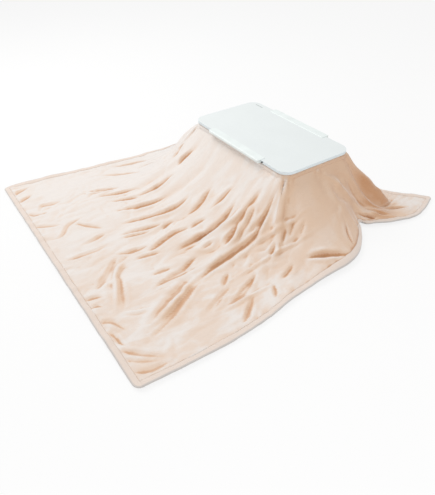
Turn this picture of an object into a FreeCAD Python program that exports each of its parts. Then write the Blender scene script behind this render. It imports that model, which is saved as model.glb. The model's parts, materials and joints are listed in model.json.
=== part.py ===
import FreeCAD, Part
import math
import os
from FreeCAD import Vector

os.makedirs("parts", exist_ok=True)

# A low heated table with four folding legs, a loose futon and a loose board on top.
# Millimetres, +Z up, floor at z = 0. Sub-parts are drawn about the table's centre, and the
# last step moves them so that the origin is the middle of the futon's footprint.
# +X and -X are the table's ends, -Y is the side where the futon is drawn out long.

X = Vector(1, 0, 0)
Y = Vector(0, 1, 0)
Z = Vector(0, 0, 1)
HALF = 0.5

# Board
table_height = 380.0
board_length = 900.0
board_width = 500.0
board_thickness = 17.0
board_corner_radius = 70.0
skin_thickness = 1.0
band_thickness = 1.5
band_edge_radius = 0.8

# Grips moulded along the board's two long edges
grip_length = 490.0
grip_reach = 23.0
grip_lap = 32.0
grip_rise = 2.5
grip_nose_radius = 6.0
grip_corner_radius = 9.0
tongue_depth = 14.0
tongue_thickness = 3.0

# Dark stops beside the grips, and the bare plate let into the upper skin
stop_radius = 5.0
stop_head_thickness = 5.0
stop_shank_radius = 3.0
stop_shank_length = 14.0
stop_gap = 9.0
inlay_length = 72.0
inlay_width = 8.0
inlay_from_end = 56.0
inlay_from_side = 31.0

# Futon
futon_thickness = 11.4
seat_gap = 0.3
hem_width = 36.0
futon_half_width = 962.0
front_reach = 1425.0
back_reach = 775.0
futon_corner_radius = 30.0
futon_edge_inset = 6.0
front_slope_run = 720.0
back_slope_run = 270.0
front_slope_power = 2.2
back_slope_power = 1.9
back_middle_power = 2.9
back_spread_share = 0.30
side_mid_height_share = 0.44
front_fold_rise = 16.0
side_fold_rise = 5.0
slope_sag_share = 0.05
foot_sag_share = 0.02
loft_degree = 3

# Frame
frame_inset = 10.0
apron_thickness = 18.0
apron_height = 46.0
corner_span = 90.0
web_thickness = 5.0
joint_tongue_length = 20.0
joint_tongue_thickness = 8.0
joint_tongue_height = 30.0
bearer_thickness = 16.0
bearer_height = 30.0
bearer_spacing = 280.0
bearer_housing = 4.0
frame_screw_radius = 1.8
frame_screw_head_radius = 3.0
frame_screw_head_thickness = 2.5
frame_screw_length = 15.0
frame_screw_edge = 3.4

# Legs
leg_size = 38.0
leg_inset = 55.0
leg_edge_radius = 4.0
leg_top_radius = 8.0
pivot_offset = 9.0
foot_height = 8.0
foot_peg_radius = 5.0
foot_peg_length = 16.0
bush_wall = 2.0
running_gap = 0.05

# Folding brackets
plate_thickness = 2.0
bracket_side_gap = 0.5
swing_gap = 1.0
bracket_tail = 10.0
bracket_drop = 37.0
bracket_corner_radius = 8.0
flange_width = 13.5
wall_gap = 0.5
pin_radius = 4.0
pin_head_radius = 6.5
pin_head_thickness = 2.0
bracket_screw_radius = 1.75
bracket_screw_head_radius = 3.2
bracket_screw_head_thickness = 2.2
bracket_screw_edge = 10.0
bracket_screw_length = 4.5

# Detent springs, which click into dimples in the legs
detent_across = 4.0
detent_below = 18.0
spring_thickness = 1.0
spring_width = 10.0
spring_length = 36.0
spring_tail = 6.0
dimple_radius = 3.0
dimple_depth = 1.2
button_radius = 2.4
rivet_inset = 6.0
rivet_radius = 2.0
rivet_head_thickness = 1.0

# Heater
heater_width = 256.0
heater_corner_radius = 12.0
sheet_thickness = 1.2
insulation_thickness = 3.0
insulation_gap = 1.0
end_flange = 8.0
side_flange = 18.0
heater_screw_from_end = 30.0
heater_screw_radius = 2.0
heater_screw_head_radius = 3.5
heater_screw_length = 14.0
reflector_thickness = 0.8
reflector_depth = 20.0
reflector_drop = 2.8
tube_radius = 5.5
tube_wall = 1.0
tube_length = 240.0
tube_to_dish_end = 30.0
reflector_short_of_tube = 8.0
reflector_ridge = 4.0
tube_below_dish_top = 18.8
element_radius = 3.0
holder_length = 20.0
holder_width = 20.0
holder_height = 22.0
holder_bore_depth = 6.0
holder_wire_bore_radius = 1.6
saddle_wall = 1.5
saddle_width = 14.0

# Wire guard
guard_rim_width = 9.0
guard_rim_thickness = 2.5
guard_rim_inset = 2.0
wire_radius = 1.2
wire_pitch = 25.0
wires_across = 11
wires_along = 9
guard_depth = 28.0
wire_bend_radius = 9.0

# Wiring
box_length = 56.0
box_width = 120.0
gland_radius = 6.0
gland_flange_radius = 9.0
gland_flange_thickness = 3.0
gland_bore_radius = 3.5
gland_outside = 16.0
gland_inside = 6.0
gland_from_end = 16.0
gland_tip_radius = 5.0
terminal_length = 17.0
terminal_width = 36.0
terminal_height = 16.0
terminal_gap = 8.0
thermostat_radius = 7.5
thermostat_thickness = 7.0
thermostat_offset = 36.0
fuse_radius = 2.5
fuse_length = 14.0
fuse_offset = 38.0
lead_radius = 1.5
lead_spacing = 16.0
lead_bend_radius = 5.0
lead_run_gap = 7.0
lead_entry = 3.0

overrun = 5.0

# Heights and places worked out from the sizes above
board_bottom = table_height - board_thickness
frame_top = board_bottom - seat_gap - futon_thickness - seat_gap
frame_bottom = frame_top - apron_height
futon_edge_x = board_length * HALF - futon_edge_inset
futon_edge_y = board_width * HALF - futon_edge_inset
frame_length = board_length - 2 * frame_inset
frame_width = board_width - 2 * frame_inset
frame_corner_radius = board_corner_radius - frame_inset
web_bottom = frame_top - web_thickness
plate_bottom = web_bottom - plate_thickness
leg_swing_radius = leg_size * HALF - pivot_offset
pivot_height = plate_bottom - swing_gap - leg_swing_radius
leg_top = pivot_height + leg_top_radius
leg_centre_x = frame_length * HALF - leg_inset
leg_centre_y = frame_width * HALF - leg_inset
pivot_x = leg_centre_x - pivot_offset
bearer_bottom = frame_top - bearer_height
bearer_centre = bearer_spacing * HALF
joint_tongue_bottom = frame_top - apron_height * HALF - joint_tongue_height * HALF
heater_length = tube_length + 2 * tube_to_dish_end
reflector_length = tube_length - 2 * reflector_short_of_tube
dish_top = frame_top - insulation_gap - insulation_thickness
dish_bottom = bearer_bottom - sheet_thickness
tube_height = dish_top - sheet_thickness - tube_below_dish_top
tube_centre = (heater_width * HALF - sheet_thickness + reflector_ridge) * HALF
table_centre_y = (front_reach - back_reach) * HALF

SIDES = (-1, 1)
CORNERS = (("front_left", -1, -1), ("front_right", 1, -1), ("back_left", -1, 1), ("back_right", 1, 1))


def block(x0, x1, y0, y1, z0, z1):
    """Box between two corners, given in any order along each axis."""
    low = Vector(min(x0, x1), min(y0, y1), min(z0, z1))
    return Part.makeBox(abs(x1 - x0), abs(y1 - y0), abs(z1 - z0), low)


def rounded_outline(length, width, radius):
    """Closed wire of a rounded rectangle about the z axis, at z = 0."""
    a = length * HALF
    b = width * HALF
    edges = []
    diagonal = radius * math.sqrt(HALF)
    for sx, sy in ((1, 1), (-1, 1), (-1, -1), (1, -1)):
        centre = Vector(sx * (a - radius), sy * (b - radius), 0)
        start = centre + (X * sx if sx == sy else Y * sy) * radius
        end = centre + (Y * sy if sx == sy else X * sx) * radius
        middle = centre + Vector(sx * diagonal, sy * diagonal, 0)
        if edges:
            edges.append(Part.LineSegment(edges[-1].lastVertex().Point, start).toShape())
        edges.append(Part.Arc(start, middle, end).toShape())
    edges.append(Part.LineSegment(edges[-1].lastVertex().Point, edges[0].firstVertex().Point).toShape())
    return Part.Wire(edges)


def rounded_prism(length, width, radius, bottom, top):
    """Upright prism of a rounded rectangle about the z axis."""
    face = Part.Face(rounded_outline(length, width, radius))
    face.translate(Z * bottom)
    return face.extrude(Z * (top - bottom))


def mirrored(shape, sx, sy):
    """The shape drawn for the +X +Y quarter, turned over into the quarter with the given signs."""
    copy = shape.copy()
    if sx < 0:
        copy = copy.mirror(Vector(0, 0, 0), X)
    if sy < 0:
        copy = copy.mirror(Vector(0, 0, 0), Y)
    return copy


def screw(tip, direction, shank_radius, shank_length, head_radius, head_thickness):
    """Screw whose head sits on the surface at the given place and whose shank runs along direction."""
    shank = Part.makeCylinder(shank_radius, shank_length, tip, direction)
    head = Part.makeCylinder(head_radius, head_thickness, tip - direction * head_thickness, direction)
    return head.fuse(shank).removeSplitter()


def shape_of(solids):
    """One shape out of several separate solids."""
    return Part.makeCompound(solids)


# Board

def grip_tongue(side):
    """The barbless tongue that holds a grip in the board's edge."""
    middle = board_bottom + board_thickness * HALF
    return block(-grip_length * HALF + grip_corner_radius, grip_length * HALF - grip_corner_radius,
                 side * board_width * HALF, side * (board_width * HALF - tongue_depth),
                 middle - tongue_thickness * HALF, middle + tongue_thickness * HALF)


def grip(side):
    """Strip with a rounded nose outside the edge and a thin lap let into the upper skin."""
    outer = board_width * HALF + grip_reach
    inner = board_width * HALF - grip_lap
    rebate = table_height - skin_thickness
    top = table_height + grip_rise
    nose = grip_nose_radius
    bend = nose * math.sqrt(HALF)
    upper_start = Vector(0, outer - nose, top)
    upper_middle = Vector(0, outer - nose + bend, top - nose + bend)
    upper_end = Vector(0, outer, top - nose)
    lower_start = Vector(0, outer, board_bottom + nose)
    lower_middle = Vector(0, outer - nose + bend, board_bottom + nose - bend)
    lower_end = Vector(0, outer - nose, board_bottom)
    heel = Vector(0, board_width * HALF, board_bottom)
    shoulder = Vector(0, board_width * HALF, rebate)
    back = [Vector(0, inner, rebate), Vector(0, inner, table_height), Vector(0, inner + grip_rise, top)]
    edges = [
        Part.LineSegment(back[0], back[1]).toShape(),
        Part.LineSegment(back[1], back[2]).toShape(),
        Part.LineSegment(back[2], upper_start).toShape(),
        Part.Arc(upper_start, upper_middle, upper_end).toShape(),
        Part.LineSegment(upper_end, lower_start).toShape(),
        Part.Arc(lower_start, lower_middle, lower_end).toShape(),
        Part.LineSegment(lower_end, heel).toShape(),
        Part.LineSegment(heel, shoulder).toShape(),
        Part.LineSegment(shoulder, back[0]).toShape(),
    ]
    bar = Part.Face(Part.Wire(edges)).extrude(X * grip_length)
    bar.translate(X * (-grip_length * HALF))
    plan = rounded_prism(grip_length, grip_reach + grip_lap, grip_corner_radius,
                         board_bottom - overrun, top + overrun)
    plan.translate(Y * ((outer + inner) * HALF))
    shape = bar.common(plan)
    return mirrored(shape, 1, side).fuse(grip_tongue(side)).removeSplitter()


def edge_stop(side):
    """Dark peg pressed into the board's edge just past a grip, at that grip's right-hand end."""
    place = Vector(-side * (grip_length * HALF + stop_gap + stop_radius), side * board_width * HALF,
                   board_bottom + board_thickness * HALF)
    head = Part.makeCylinder(stop_radius, stop_head_thickness, place, Y * side)
    shank = Part.makeCylinder(stop_shank_radius, stop_shank_length, place, Y * -side)
    return head.fuse(shank).removeSplitter()


def inlay(bottom, top):
    """Bare plate with rounded ends, let into the skin near the back left corner."""
    plate = rounded_prism(inlay_length, inlay_width, inlay_width * HALF - band_edge_radius, bottom, top)
    centre_x = -board_length * HALF + inlay_from_end + inlay_length * HALF
    centre_y = board_width * HALF - inlay_from_side - inlay_width * HALF
    plate.translate(Vector(centre_x, centre_y, 0))
    return plate


def board_parts():
    """Core, skins, edge band, grips, stops and inlay."""
    inner_length = board_length - 2 * band_thickness
    inner_width = board_width - 2 * band_thickness
    inner_radius = board_corner_radius - band_thickness
    core_bottom = board_bottom + skin_thickness
    core_top = table_height - skin_thickness
    core = rounded_prism(inner_length, inner_width, inner_radius, core_bottom, core_top)
    upper = rounded_prism(inner_length, inner_width, inner_radius, core_top, table_height)
    lower = rounded_prism(inner_length, inner_width, inner_radius, board_bottom, core_bottom)
    whole = rounded_prism(board_length, board_width, board_corner_radius, board_bottom, table_height)
    outer_edges = [e for e in whole.Edges if abs(e.BoundBox.ZMax - e.BoundBox.ZMin) < band_edge_radius]
    whole = whole.makeFillet(band_edge_radius, outer_edges)
    band = whole.cut(rounded_prism(inner_length, inner_width, inner_radius, board_bottom - overrun,
                                   table_height + overrun))
    plate = inlay(core_top, table_height)
    upper = upper.cut(plate)
    grips = [grip(side) for side in SIDES]
    stops = [edge_stop(side) for side in SIDES]
    for strip, stop in zip(grips, stops):
        core = core.cut(strip).cut(stop)
        band = band.cut(strip).cut(stop)
        upper = upper.cut(strip)
    return {
        "board_core": core,
        "board_upper_skin": upper,
        "board_lower_skin": lower,
        "board_edge_band": band,
        "grip_front": grips[0],
        "grip_back": grips[1],
        "edge_stops": shape_of(stops),
        "inlay_plate": plate,
    }


# Futon

def slope_height(distance, run, power):
    """Height of the futon's upper face at a distance past the table's edge, down a hollow slope."""
    crest = board_bottom - seat_gap
    fall = max(0.0, 1 - distance / run)
    return futon_thickness + (crest - futon_thickness) * fall ** power


def span(start, end, rise):
    """Edge from one crease to the next, straight or bowed upwards by rise."""
    if abs(rise) < seat_gap:
        return Part.LineSegment(start, end).toShape()
    along = (end - start).normalize()
    normal = Y.cross(along)
    if normal.z < 0:
        normal = normal * -1
    return Part.Arc(start, (start + end) * HALF + normal * rise, end).toShape()


# Creases across the drawn-out front, as shares of the board's half length
crease_shares = (-0.60, -0.20, 0.22, 0.66)
# How far each crease wanders towards +X by the front hem, as shares of the half width
crease_wander_shares = (-0.10, -0.02, 0.04, -0.02)


def futon_section(y, crest, middle_crest, foot, spread=0, mid_lift=0, fold_rise=0, wander=0):
    """Closed section of the futon across its width: the upper face, and the same line one thickness down.
    The crest runs between the shoulders over the table's ends and may hang lower in the middle."""
    ledge = futon_half_width + overrun
    shoulder = futon_edge_x + spread
    side = shoulder + (foot - shoulder) * side_mid_height_share
    floor = futon_thickness
    slope = crest - floor
    # A fold is only as deep as the slope it lies on, so it dies out on the floor
    side_height = floor + slope * side_mid_height_share + mid_lift * slope / table_height
    right = [(shoulder, crest), (side, side_height), (foot, floor), (ledge, floor)]
    left = [(-x, z) for x, z in reversed(right)]
    creases = [(shoulder * share + futon_half_width * move * wander,
                middle_crest + (crest - middle_crest) * share ** 2)
               for share, move in zip(crease_shares, crease_wander_shares)]
    places = [Vector(x, y, z) for x, z in left + creases + right]
    upper_sag = -slope * slope_sag_share
    lower_sag = -slope * foot_sag_share
    rises = [0, lower_sag, upper_sag] + [fold_rise] * (len(creases) + 1) + [upper_sag, lower_sag, 0]
    upper = [span(a, b, rise) for a, b, rise in zip(places, places[1:], rises)]
    drop = Z * -futon_thickness
    lower = [span(a + drop, b + drop, rise) for a, b, rise in zip(places, places[1:], rises)]
    ends = [Part.LineSegment(places[-1], places[-1] + drop).toShape(),
            Part.LineSegment(places[0] + drop, places[0]).toShape()]
    return Part.Wire(upper + [ends[0]] + list(reversed(lower)) + [ends[1]])


# Each row is one section: its place as a share of the slope's run, its foot as a share of the
# half width, and the rise of its folds as a share of the full rise
front_slope_shares = (
    (0.00, 0.895, 0.0), (0.12, 0.900, 0.4), (0.30, 0.915, 0.9), (0.50, 0.940, 1.0), (0.70, 0.955, 0.8),
    (0.86, 0.965, 0.5), (1.00, 0.965, 0.3))
back_slope_shares = (
    (0.00, 0.735, 0.0), (0.22, 0.765, 0.0), (0.48, 0.790, 0.0), (0.70, 0.800, 0.0), (0.87, 0.800, 0.0),
    (1.00, 0.790, 0.0))
# Past the slopes: place as a share of the way from the slope's foot to the hem, foot, and rise
front_floor_shares = ((0.00, 0.965, 0.3), (0.32, 0.965, 0.3), (0.66, 0.965, 0.3), (1.02, 0.965, 0.3))
back_floor_shares = ((0.00, 0.790, 0.0), (0.50, 0.760, 0.0), (1.04, 0.740, 0.0))
# Beside the table: place as a share of the way from its middle to its long sides, foot, and rise of
# the side folds
middle_shares = ((-1.0, 0.895, 0.0), (-0.5, 0.872, 0.0), (0.08, 0.815, 1.0), (0.66, 0.690, 0.0),
                 (1.0, 0.735, 0.0))


def skirt(side, slope_shares, floor_shares, slope_run, powers, spread_share, reach):
    """Slope and floor part of the front (side -1) or the back (side 1), as two solids."""
    floor_run = reach - futon_edge_y - slope_run
    slope = []
    for place, foot, rise in slope_shares:
        distance = slope_run * place
        crest, middle_crest = (slope_height(distance, slope_run, power) for power in powers)
        slope.append(futon_section(side * (futon_edge_y + distance), crest, middle_crest,
                                   futon_half_width * foot, distance * spread_share, 0,
                                   front_fold_rise * rise, distance / reach))
    floor = []
    for place, foot, rise in floor_shares:
        distance = slope_run + floor_run * place
        floor.append(futon_section(side * (futon_edge_y + distance), futon_thickness, futon_thickness,
                                   futon_half_width * foot, slope_run * spread_share, 0,
                                   front_fold_rise * rise, distance / reach))
    return [Part.makeLoft(wires, True, False, False, loft_degree) for wires in (slope, floor)]


def futon_middle():
    """The part under the board, with the two side skirts."""
    crest = board_bottom - seat_gap
    wires = [futon_section(futon_edge_y * place, crest, crest, futon_half_width * foot, 0,
                           lift * side_fold_rise)
             for place, foot, lift in middle_shares]
    return Part.makeLoft(wires, True, False, False, loft_degree)


# Footprint of the +X half, from the front corner round to the middle of the back hem.
# Each row holds the middle and the end of one arc: x as shares of the half width, y as
# shares of the front reach where negative and of the back reach where positive.
footprint_arc_shares = (
    ((1.000, -0.79), (0.988, -0.53)),
    ((0.950, -0.34), (0.905, -0.175)),
    ((0.868, -0.04), (0.775, 0.125)),
    ((0.702, 0.215), (0.735, 0.290)),
    ((0.835, 0.520), (0.820, 0.790)),
    ((0.798, 0.890), (0.764, 0.985)),
    ((0.748, 1.000), (0.729, 0.992)),
    ((0.635, 0.850), (0.520, 0.755)),
    ((0.270, 0.718), (0.000, 0.712)),
)
front_corner_share = 0.990


def footprint_point(shares):
    x, y = shares
    return Vector(x * futon_half_width, y * (front_reach if y < 0 else back_reach), 0)


def footprint(inset):
    """Upright prism over the futon's outline, drawn in by inset."""
    corner = Vector(front_corner_share * futon_half_width, -front_reach, 0)
    half_corner = futon_corner_radius
    start = corner - X * half_corner
    turn_end = corner + Y * half_corner
    bend = half_corner * (1 - math.sqrt(HALF))
    right = [Part.Arc(start, corner + Vector(-bend, bend, 0), turn_end).toShape()]
    last = turn_end
    for middle, end in footprint_arc_shares:
        right.append(Part.Arc(last, footprint_point(middle), footprint_point(end)).toShape())
        last = footprint_point(end)
    left = [e.mirror(Vector(0, 0, 0), X) for e in right]
    hem = Part.LineSegment(Vector(-start.x, start.y, 0), start).toShape()
    outline = Part.Wire([hem] + right + list(reversed(left)))
    if inset:
        outline = outline.makeOffset2D(-inset, 0, False, False, True)
    face = Part.Face(outline)
    face.translate(Z * -overrun)
    return face.extrude(Z * (table_height + overrun))


def futon_parts():
    """The futon inside its hem, and the hem turned round its edge."""
    front = skirt(-1, front_slope_shares, front_floor_shares, front_slope_run,
                  (front_slope_power, front_slope_power), 0, front_reach)
    back = skirt(1, back_slope_shares, back_floor_shares, back_slope_run,
                 (back_slope_power, back_middle_power), back_spread_share, back_reach)
    whole = futon_middle().fuse(front + back).common(footprint(0))
    inner = footprint(hem_width)
    return {"futon": whole.common(inner), "futon_hem": whole.cut(inner)}


# Frame

def frame_ring(bottom, top):
    """Upright ring that the aprons and corner blocks are cut from."""
    outer = rounded_prism(frame_length, frame_width, frame_corner_radius, bottom, top)
    inner = rounded_prism(frame_length - 2 * apron_thickness, frame_width - 2 * apron_thickness,
                          frame_corner_radius - apron_thickness, bottom - overrun, top + overrun)
    return outer.cut(inner)


def joint_tongues(sx, sy):
    """The two tongues of a corner block, one into each apron."""
    wall = apron_thickness * HALF
    half = joint_tongue_thickness * HALF
    x1 = frame_length * HALF
    y1 = frame_width * HALF
    z0 = joint_tongue_bottom
    z1 = z0 + joint_tongue_height
    root_x = x1 - corner_span
    root_y = y1 - corner_span
    along_x = block(root_x - joint_tongue_length, root_x, y1 - wall - half, y1 - wall + half, z0, z1)
    along_y = block(x1 - wall - half, x1 - wall + half, root_y - joint_tongue_length, root_y, z0, z1)
    return mirrored(shape_of([along_x, along_y]), sx, sy)


def frame_screws():
    """One screw through each apron into the tongue inside it, driven from within the frame."""
    solids = []
    height = joint_tongue_bottom + frame_screw_edge
    x_face = frame_length * HALF - apron_thickness
    y_face = frame_width * HALF - apron_thickness
    x_place = frame_length * HALF - corner_span - joint_tongue_length * HALF
    y_place = frame_width * HALF - corner_span - joint_tongue_length * HALF
    for _, sx, sy in CORNERS:
        for tip, direction in ((Vector(sx * x_place, sy * y_face, height), Y * sy),
                               (Vector(sx * x_face, sy * y_place, height), X * sx)):
            solids.append(screw(tip, direction, frame_screw_radius, frame_screw_length,
                                frame_screw_head_radius, frame_screw_head_thickness))
    return shape_of(solids)


def bearer(side):
    """Rail along the table that carries the heater, housed in the end aprons."""
    reach = frame_length * HALF - apron_thickness + bearer_housing
    return block(-reach, reach, side * (bearer_centre - bearer_thickness * HALF),
                 side * (bearer_centre + bearer_thickness * HALF), bearer_bottom, frame_top)


def bracket_screws():
    """Four screws through each bracket's flanges into the web of its corner block."""
    solids = []
    ear = leg_size * HALF + bracket_side_gap + plate_thickness + flange_width * HALF
    for _, sx, sy in CORNERS:
        for dx in SIDES:
            for dy in SIDES:
                x = leg_centre_x + dx * (leg_size * HALF - bracket_screw_edge) - pivot_offset * HALF
                y = leg_centre_y + dy * ear
                place = Vector(sx * x, sy * y, plate_bottom)
                solids.append(screw(place, Z, bracket_screw_radius, bracket_screw_length,
                                    bracket_screw_head_radius, bracket_screw_head_thickness))
    return solids


def frame_parts():
    """Aprons, corner blocks, bearers and their screws."""
    ring = frame_ring(frame_bottom, frame_top)
    x1 = frame_length * HALF
    y1 = frame_width * HALF
    tongues = shape_of([joint_tongues(sx, sy) for _, sx, sy in CORNERS])
    joint = frame_screws()
    flange_screws = shape_of(bracket_screws())
    rails = {"bearer_front": bearer(-1), "bearer_back": bearer(1)}
    housings = shape_of(list(rails.values()))
    parts = {}
    high = frame_top + overrun
    low = frame_bottom - overrun
    for name, side in (("apron_front", -1), ("apron_back", 1)):
        cut = block(-x1 + corner_span, x1 - corner_span, 0, side * (y1 + overrun), low, high)
        parts[name] = ring.common(cut).cut(tongues).cut(joint)
    for name, side in (("apron_left", -1), ("apron_right", 1)):
        cut = block(0, side * (x1 + overrun), -y1 + corner_span, y1 - corner_span, low, high)
        parts[name] = ring.common(cut).cut(tongues).cut(joint).cut(housings)
    web = rounded_prism(frame_length, frame_width, frame_corner_radius, web_bottom, frame_top)
    for corner, sx, sy in CORNERS:
        cut = block(sx * (x1 - corner_span), sx * (x1 + overrun), sy * (y1 - corner_span),
                    sy * (y1 + overrun), low, high)
        shape = ring.fuse(web).common(cut).fuse(joint_tongues(sx, sy)).removeSplitter()
        parts["corner_block_" + corner] = shape.cut(joint).cut(flange_screws)
    parts.update(rails)
    parts["frame_screws"] = joint
    parts["bracket_screws"] = flange_screws
    return parts


# Leg fittings

def pivot_pin():
    """Riveted pin across the bracket's cheeks, drawn for the +X +Y corner."""
    half = leg_size * HALF + bracket_side_gap + plate_thickness
    start = Vector(pivot_x, leg_centre_y - half, pivot_height)
    end = Vector(pivot_x, leg_centre_y + half, pivot_height)
    shank = Part.makeCylinder(pin_radius, 2 * half, start, Y)
    inner_head = Part.makeCylinder(pin_head_radius, pin_head_thickness, start, Y * -1)
    outer_head = Part.makeCylinder(pin_head_radius, pin_head_thickness, end, Y)
    return shank.fuse([inner_head, outer_head]).removeSplitter()


def detent_spring():
    """Leaf on the outer cheek with a button that clicks into the leg's side, and its rivet."""
    x = pivot_x - detent_across
    z = pivot_height - detent_below
    face = leg_centre_y + leg_size * HALF
    cheek = face + bracket_side_gap + plate_thickness
    leaf = block(x - spring_tail, x + spring_length - spring_tail, cheek, cheek + spring_thickness,
                 z - spring_width * HALF, z + spring_width * HALF)
    button = Part.makeCylinder(button_radius, cheek - face - seat_gap, Vector(x, face + seat_gap, z), Y)
    rivet_x = x + spring_length - spring_tail - rivet_inset
    rivet = Part.makeCylinder(rivet_radius, cheek - face - bracket_side_gap,
                              Vector(rivet_x, face + bracket_side_gap, z), Y)
    head = Part.makeCylinder(rivet_radius * 2 - seat_gap, rivet_head_thickness,
                             Vector(rivet_x, cheek + spring_thickness, z), Y)
    return leaf.fuse([button, rivet, head]).removeSplitter()


def fold_bracket():
    """Pressed bracket: top plate with two flanges, two cheeks and the end that stops the leg."""
    near = leg_size * HALF + bracket_side_gap
    far = near + plate_thickness
    x0 = leg_centre_x - leg_size * HALF - bracket_tail
    x1 = leg_centre_x + far
    bottom = plate_bottom - bracket_drop
    ear = far + flange_width
    plate = block(x0, x1, leg_centre_y - ear, leg_centre_y + ear, plate_bottom, web_bottom)
    gap = 2 * (apron_thickness + wall_gap)
    inside = rounded_prism(frame_length - gap, frame_width - gap, frame_corner_radius - gap * HALF,
                           bottom - overrun, frame_top)
    limit = block(frame_length * HALF - corner_span, frame_length * HALF, frame_width * HALF - corner_span,
                  frame_width * HALF, bottom - overrun, frame_top)
    plate = plate.common(inside).common(limit)
    cheeks = [block(x0, x1, leg_centre_y + side * near, leg_centre_y + side * far, bottom, plate_bottom)
              for side in SIDES]
    stop = block(x1 - plate_thickness, x1, leg_centre_y - far, leg_centre_y + far, bottom, plate_bottom)
    shape = plate.fuse(cheeks + [stop]).removeSplitter()
    corners = [e for e in shape.Edges
               if abs(e.BoundBox.XMin - x0) < seat_gap and abs(e.BoundBox.XMax - x0) < seat_gap
               and abs(e.BoundBox.ZMax - bottom) < seat_gap]
    shape = shape.makeFillet(bracket_corner_radius, corners)
    button_place = Vector(pivot_x - detent_across, leg_centre_y + near - overrun, pivot_height - detent_below)
    button_hole = Part.makeCylinder(button_radius + seat_gap, far - near + 2 * overrun, button_place, Y)
    return shape.cut(pivot_pin()).cut(button_hole).cut(detent_spring())


def leg_parts():
    """Post, pivot bush and foot cap, drawn for the +X +Y corner."""
    half = leg_size * HALF
    r = leg_top_radius
    x0 = leg_centre_x - half
    x1 = leg_centre_x + half
    y0 = leg_centre_y - half
    bend = r * (1 - math.sqrt(HALF))
    foot = Vector(x0, y0, foot_height)
    shoulder = Vector(x0, y0, leg_top - r)
    crown = Vector(x0 + r, y0, leg_top)
    far_crown = Vector(x1 - r, y0, leg_top)
    far_shoulder = Vector(x1, y0, leg_top - r)
    far_foot = Vector(x1, y0, foot_height)
    profile = Part.Wire([
        Part.LineSegment(foot, shoulder).toShape(),
        Part.Arc(shoulder, Vector(x0 + bend, y0, leg_top - bend), crown).toShape(),
        Part.LineSegment(crown, far_crown).toShape(),
        Part.Arc(far_crown, Vector(x1 - bend, y0, leg_top - bend), far_shoulder).toShape(),
        Part.LineSegment(far_shoulder, far_foot).toShape(),
        Part.LineSegment(far_foot, foot).toShape()])
    post = Part.Face(profile).extrude(Y * leg_size)
    upright = rounded_prism(leg_size, leg_size, leg_edge_radius, 0, leg_top + overrun)
    upright.translate(Vector(leg_centre_x, leg_centre_y, 0))
    post = post.common(upright)
    bush_bore = pin_radius + running_gap
    axis_start = Vector(pivot_x, y0, pivot_height)
    seat = Part.makeCylinder(bush_bore + bush_wall, leg_size, axis_start, Y)
    bush = seat.cut(Part.makeCylinder(bush_bore, leg_size, axis_start, Y))
    # The two dimples are where the spring's button lands with the leg down and with it folded
    ball_radius = (dimple_radius ** 2 + dimple_depth ** 2) / (2 * dimple_depth)
    ball_y = leg_centre_y + half + ball_radius - dimple_depth
    dimple_places = [Vector(pivot_x - detent_across, ball_y, pivot_height - detent_below),
                     Vector(pivot_x + detent_below, ball_y, pivot_height - detent_across)]
    cap = rounded_prism(leg_size, leg_size, leg_edge_radius, 0, foot_height)
    cap.translate(Vector(leg_centre_x, leg_centre_y, 0))
    peg = Part.makeCylinder(foot_peg_radius, foot_peg_length, Vector(leg_centre_x, leg_centre_y, foot_height))
    bottom_edges = [e for e in cap.Edges if e.BoundBox.ZMax < seat_gap]
    cap = cap.makeFillet(leg_edge_radius * HALF, bottom_edges).fuse(peg).removeSplitter()
    post = post.cut(seat).cut(peg)
    for place in dimple_places:
        post = post.cut(Part.makeSphere(ball_radius, place))
    return {"leg": post, "leg_bush": bush, "leg_foot": cap}


def fitting_parts():
    """Everything at the four corners that holds or is a folding leg."""
    parts = {}
    bracket = fold_bracket()
    screws = shape_of(bracket_screws())
    leg = leg_parts()
    for corner, sx, sy in CORNERS:
        parts["fold_bracket_" + corner] = mirrored(bracket, sx, sy).cut(screws)
        for name, shape in leg.items():
            parts[name + "_" + corner] = mirrored(shape, sx, sy)
    parts["pivot_pins"] = shape_of([mirrored(pivot_pin(), sx, sy) for _, sx, sy in CORNERS])
    parts["detent_springs"] = shape_of([mirrored(detent_spring(), sx, sy) for _, sx, sy in CORNERS])
    return parts


# Heater

def heater_screws():
    """Four screws up through the dish's flange into the bearers."""
    solids = []
    for _, sx, sy in CORNERS:
        place = Vector(sx * (heater_length * HALF - heater_screw_from_end), sy * bearer_centre, dish_bottom)
        solids.append(screw(place, Z, heater_screw_radius, heater_screw_length, heater_screw_head_radius,
                            guard_rim_thickness))
    return shape_of(solids)


def dish():
    """Pressed steel tray, open downwards, with a flange that screws under the bearers."""
    inner_length = heater_length - 2 * sheet_thickness
    inner_width = heater_width - 2 * sheet_thickness
    inner_radius = heater_corner_radius - sheet_thickness
    shell = rounded_prism(heater_length, heater_width, heater_corner_radius, dish_bottom, dish_top)
    flange = rounded_prism(heater_length + 2 * end_flange, heater_width + 2 * side_flange,
                           heater_corner_radius, dish_bottom, bearer_bottom)
    room = rounded_prism(inner_length, inner_width, inner_radius, dish_bottom - overrun,
                         dish_top - sheet_thickness)
    return shell.fuse(flange).removeSplitter().cut(room)


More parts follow.
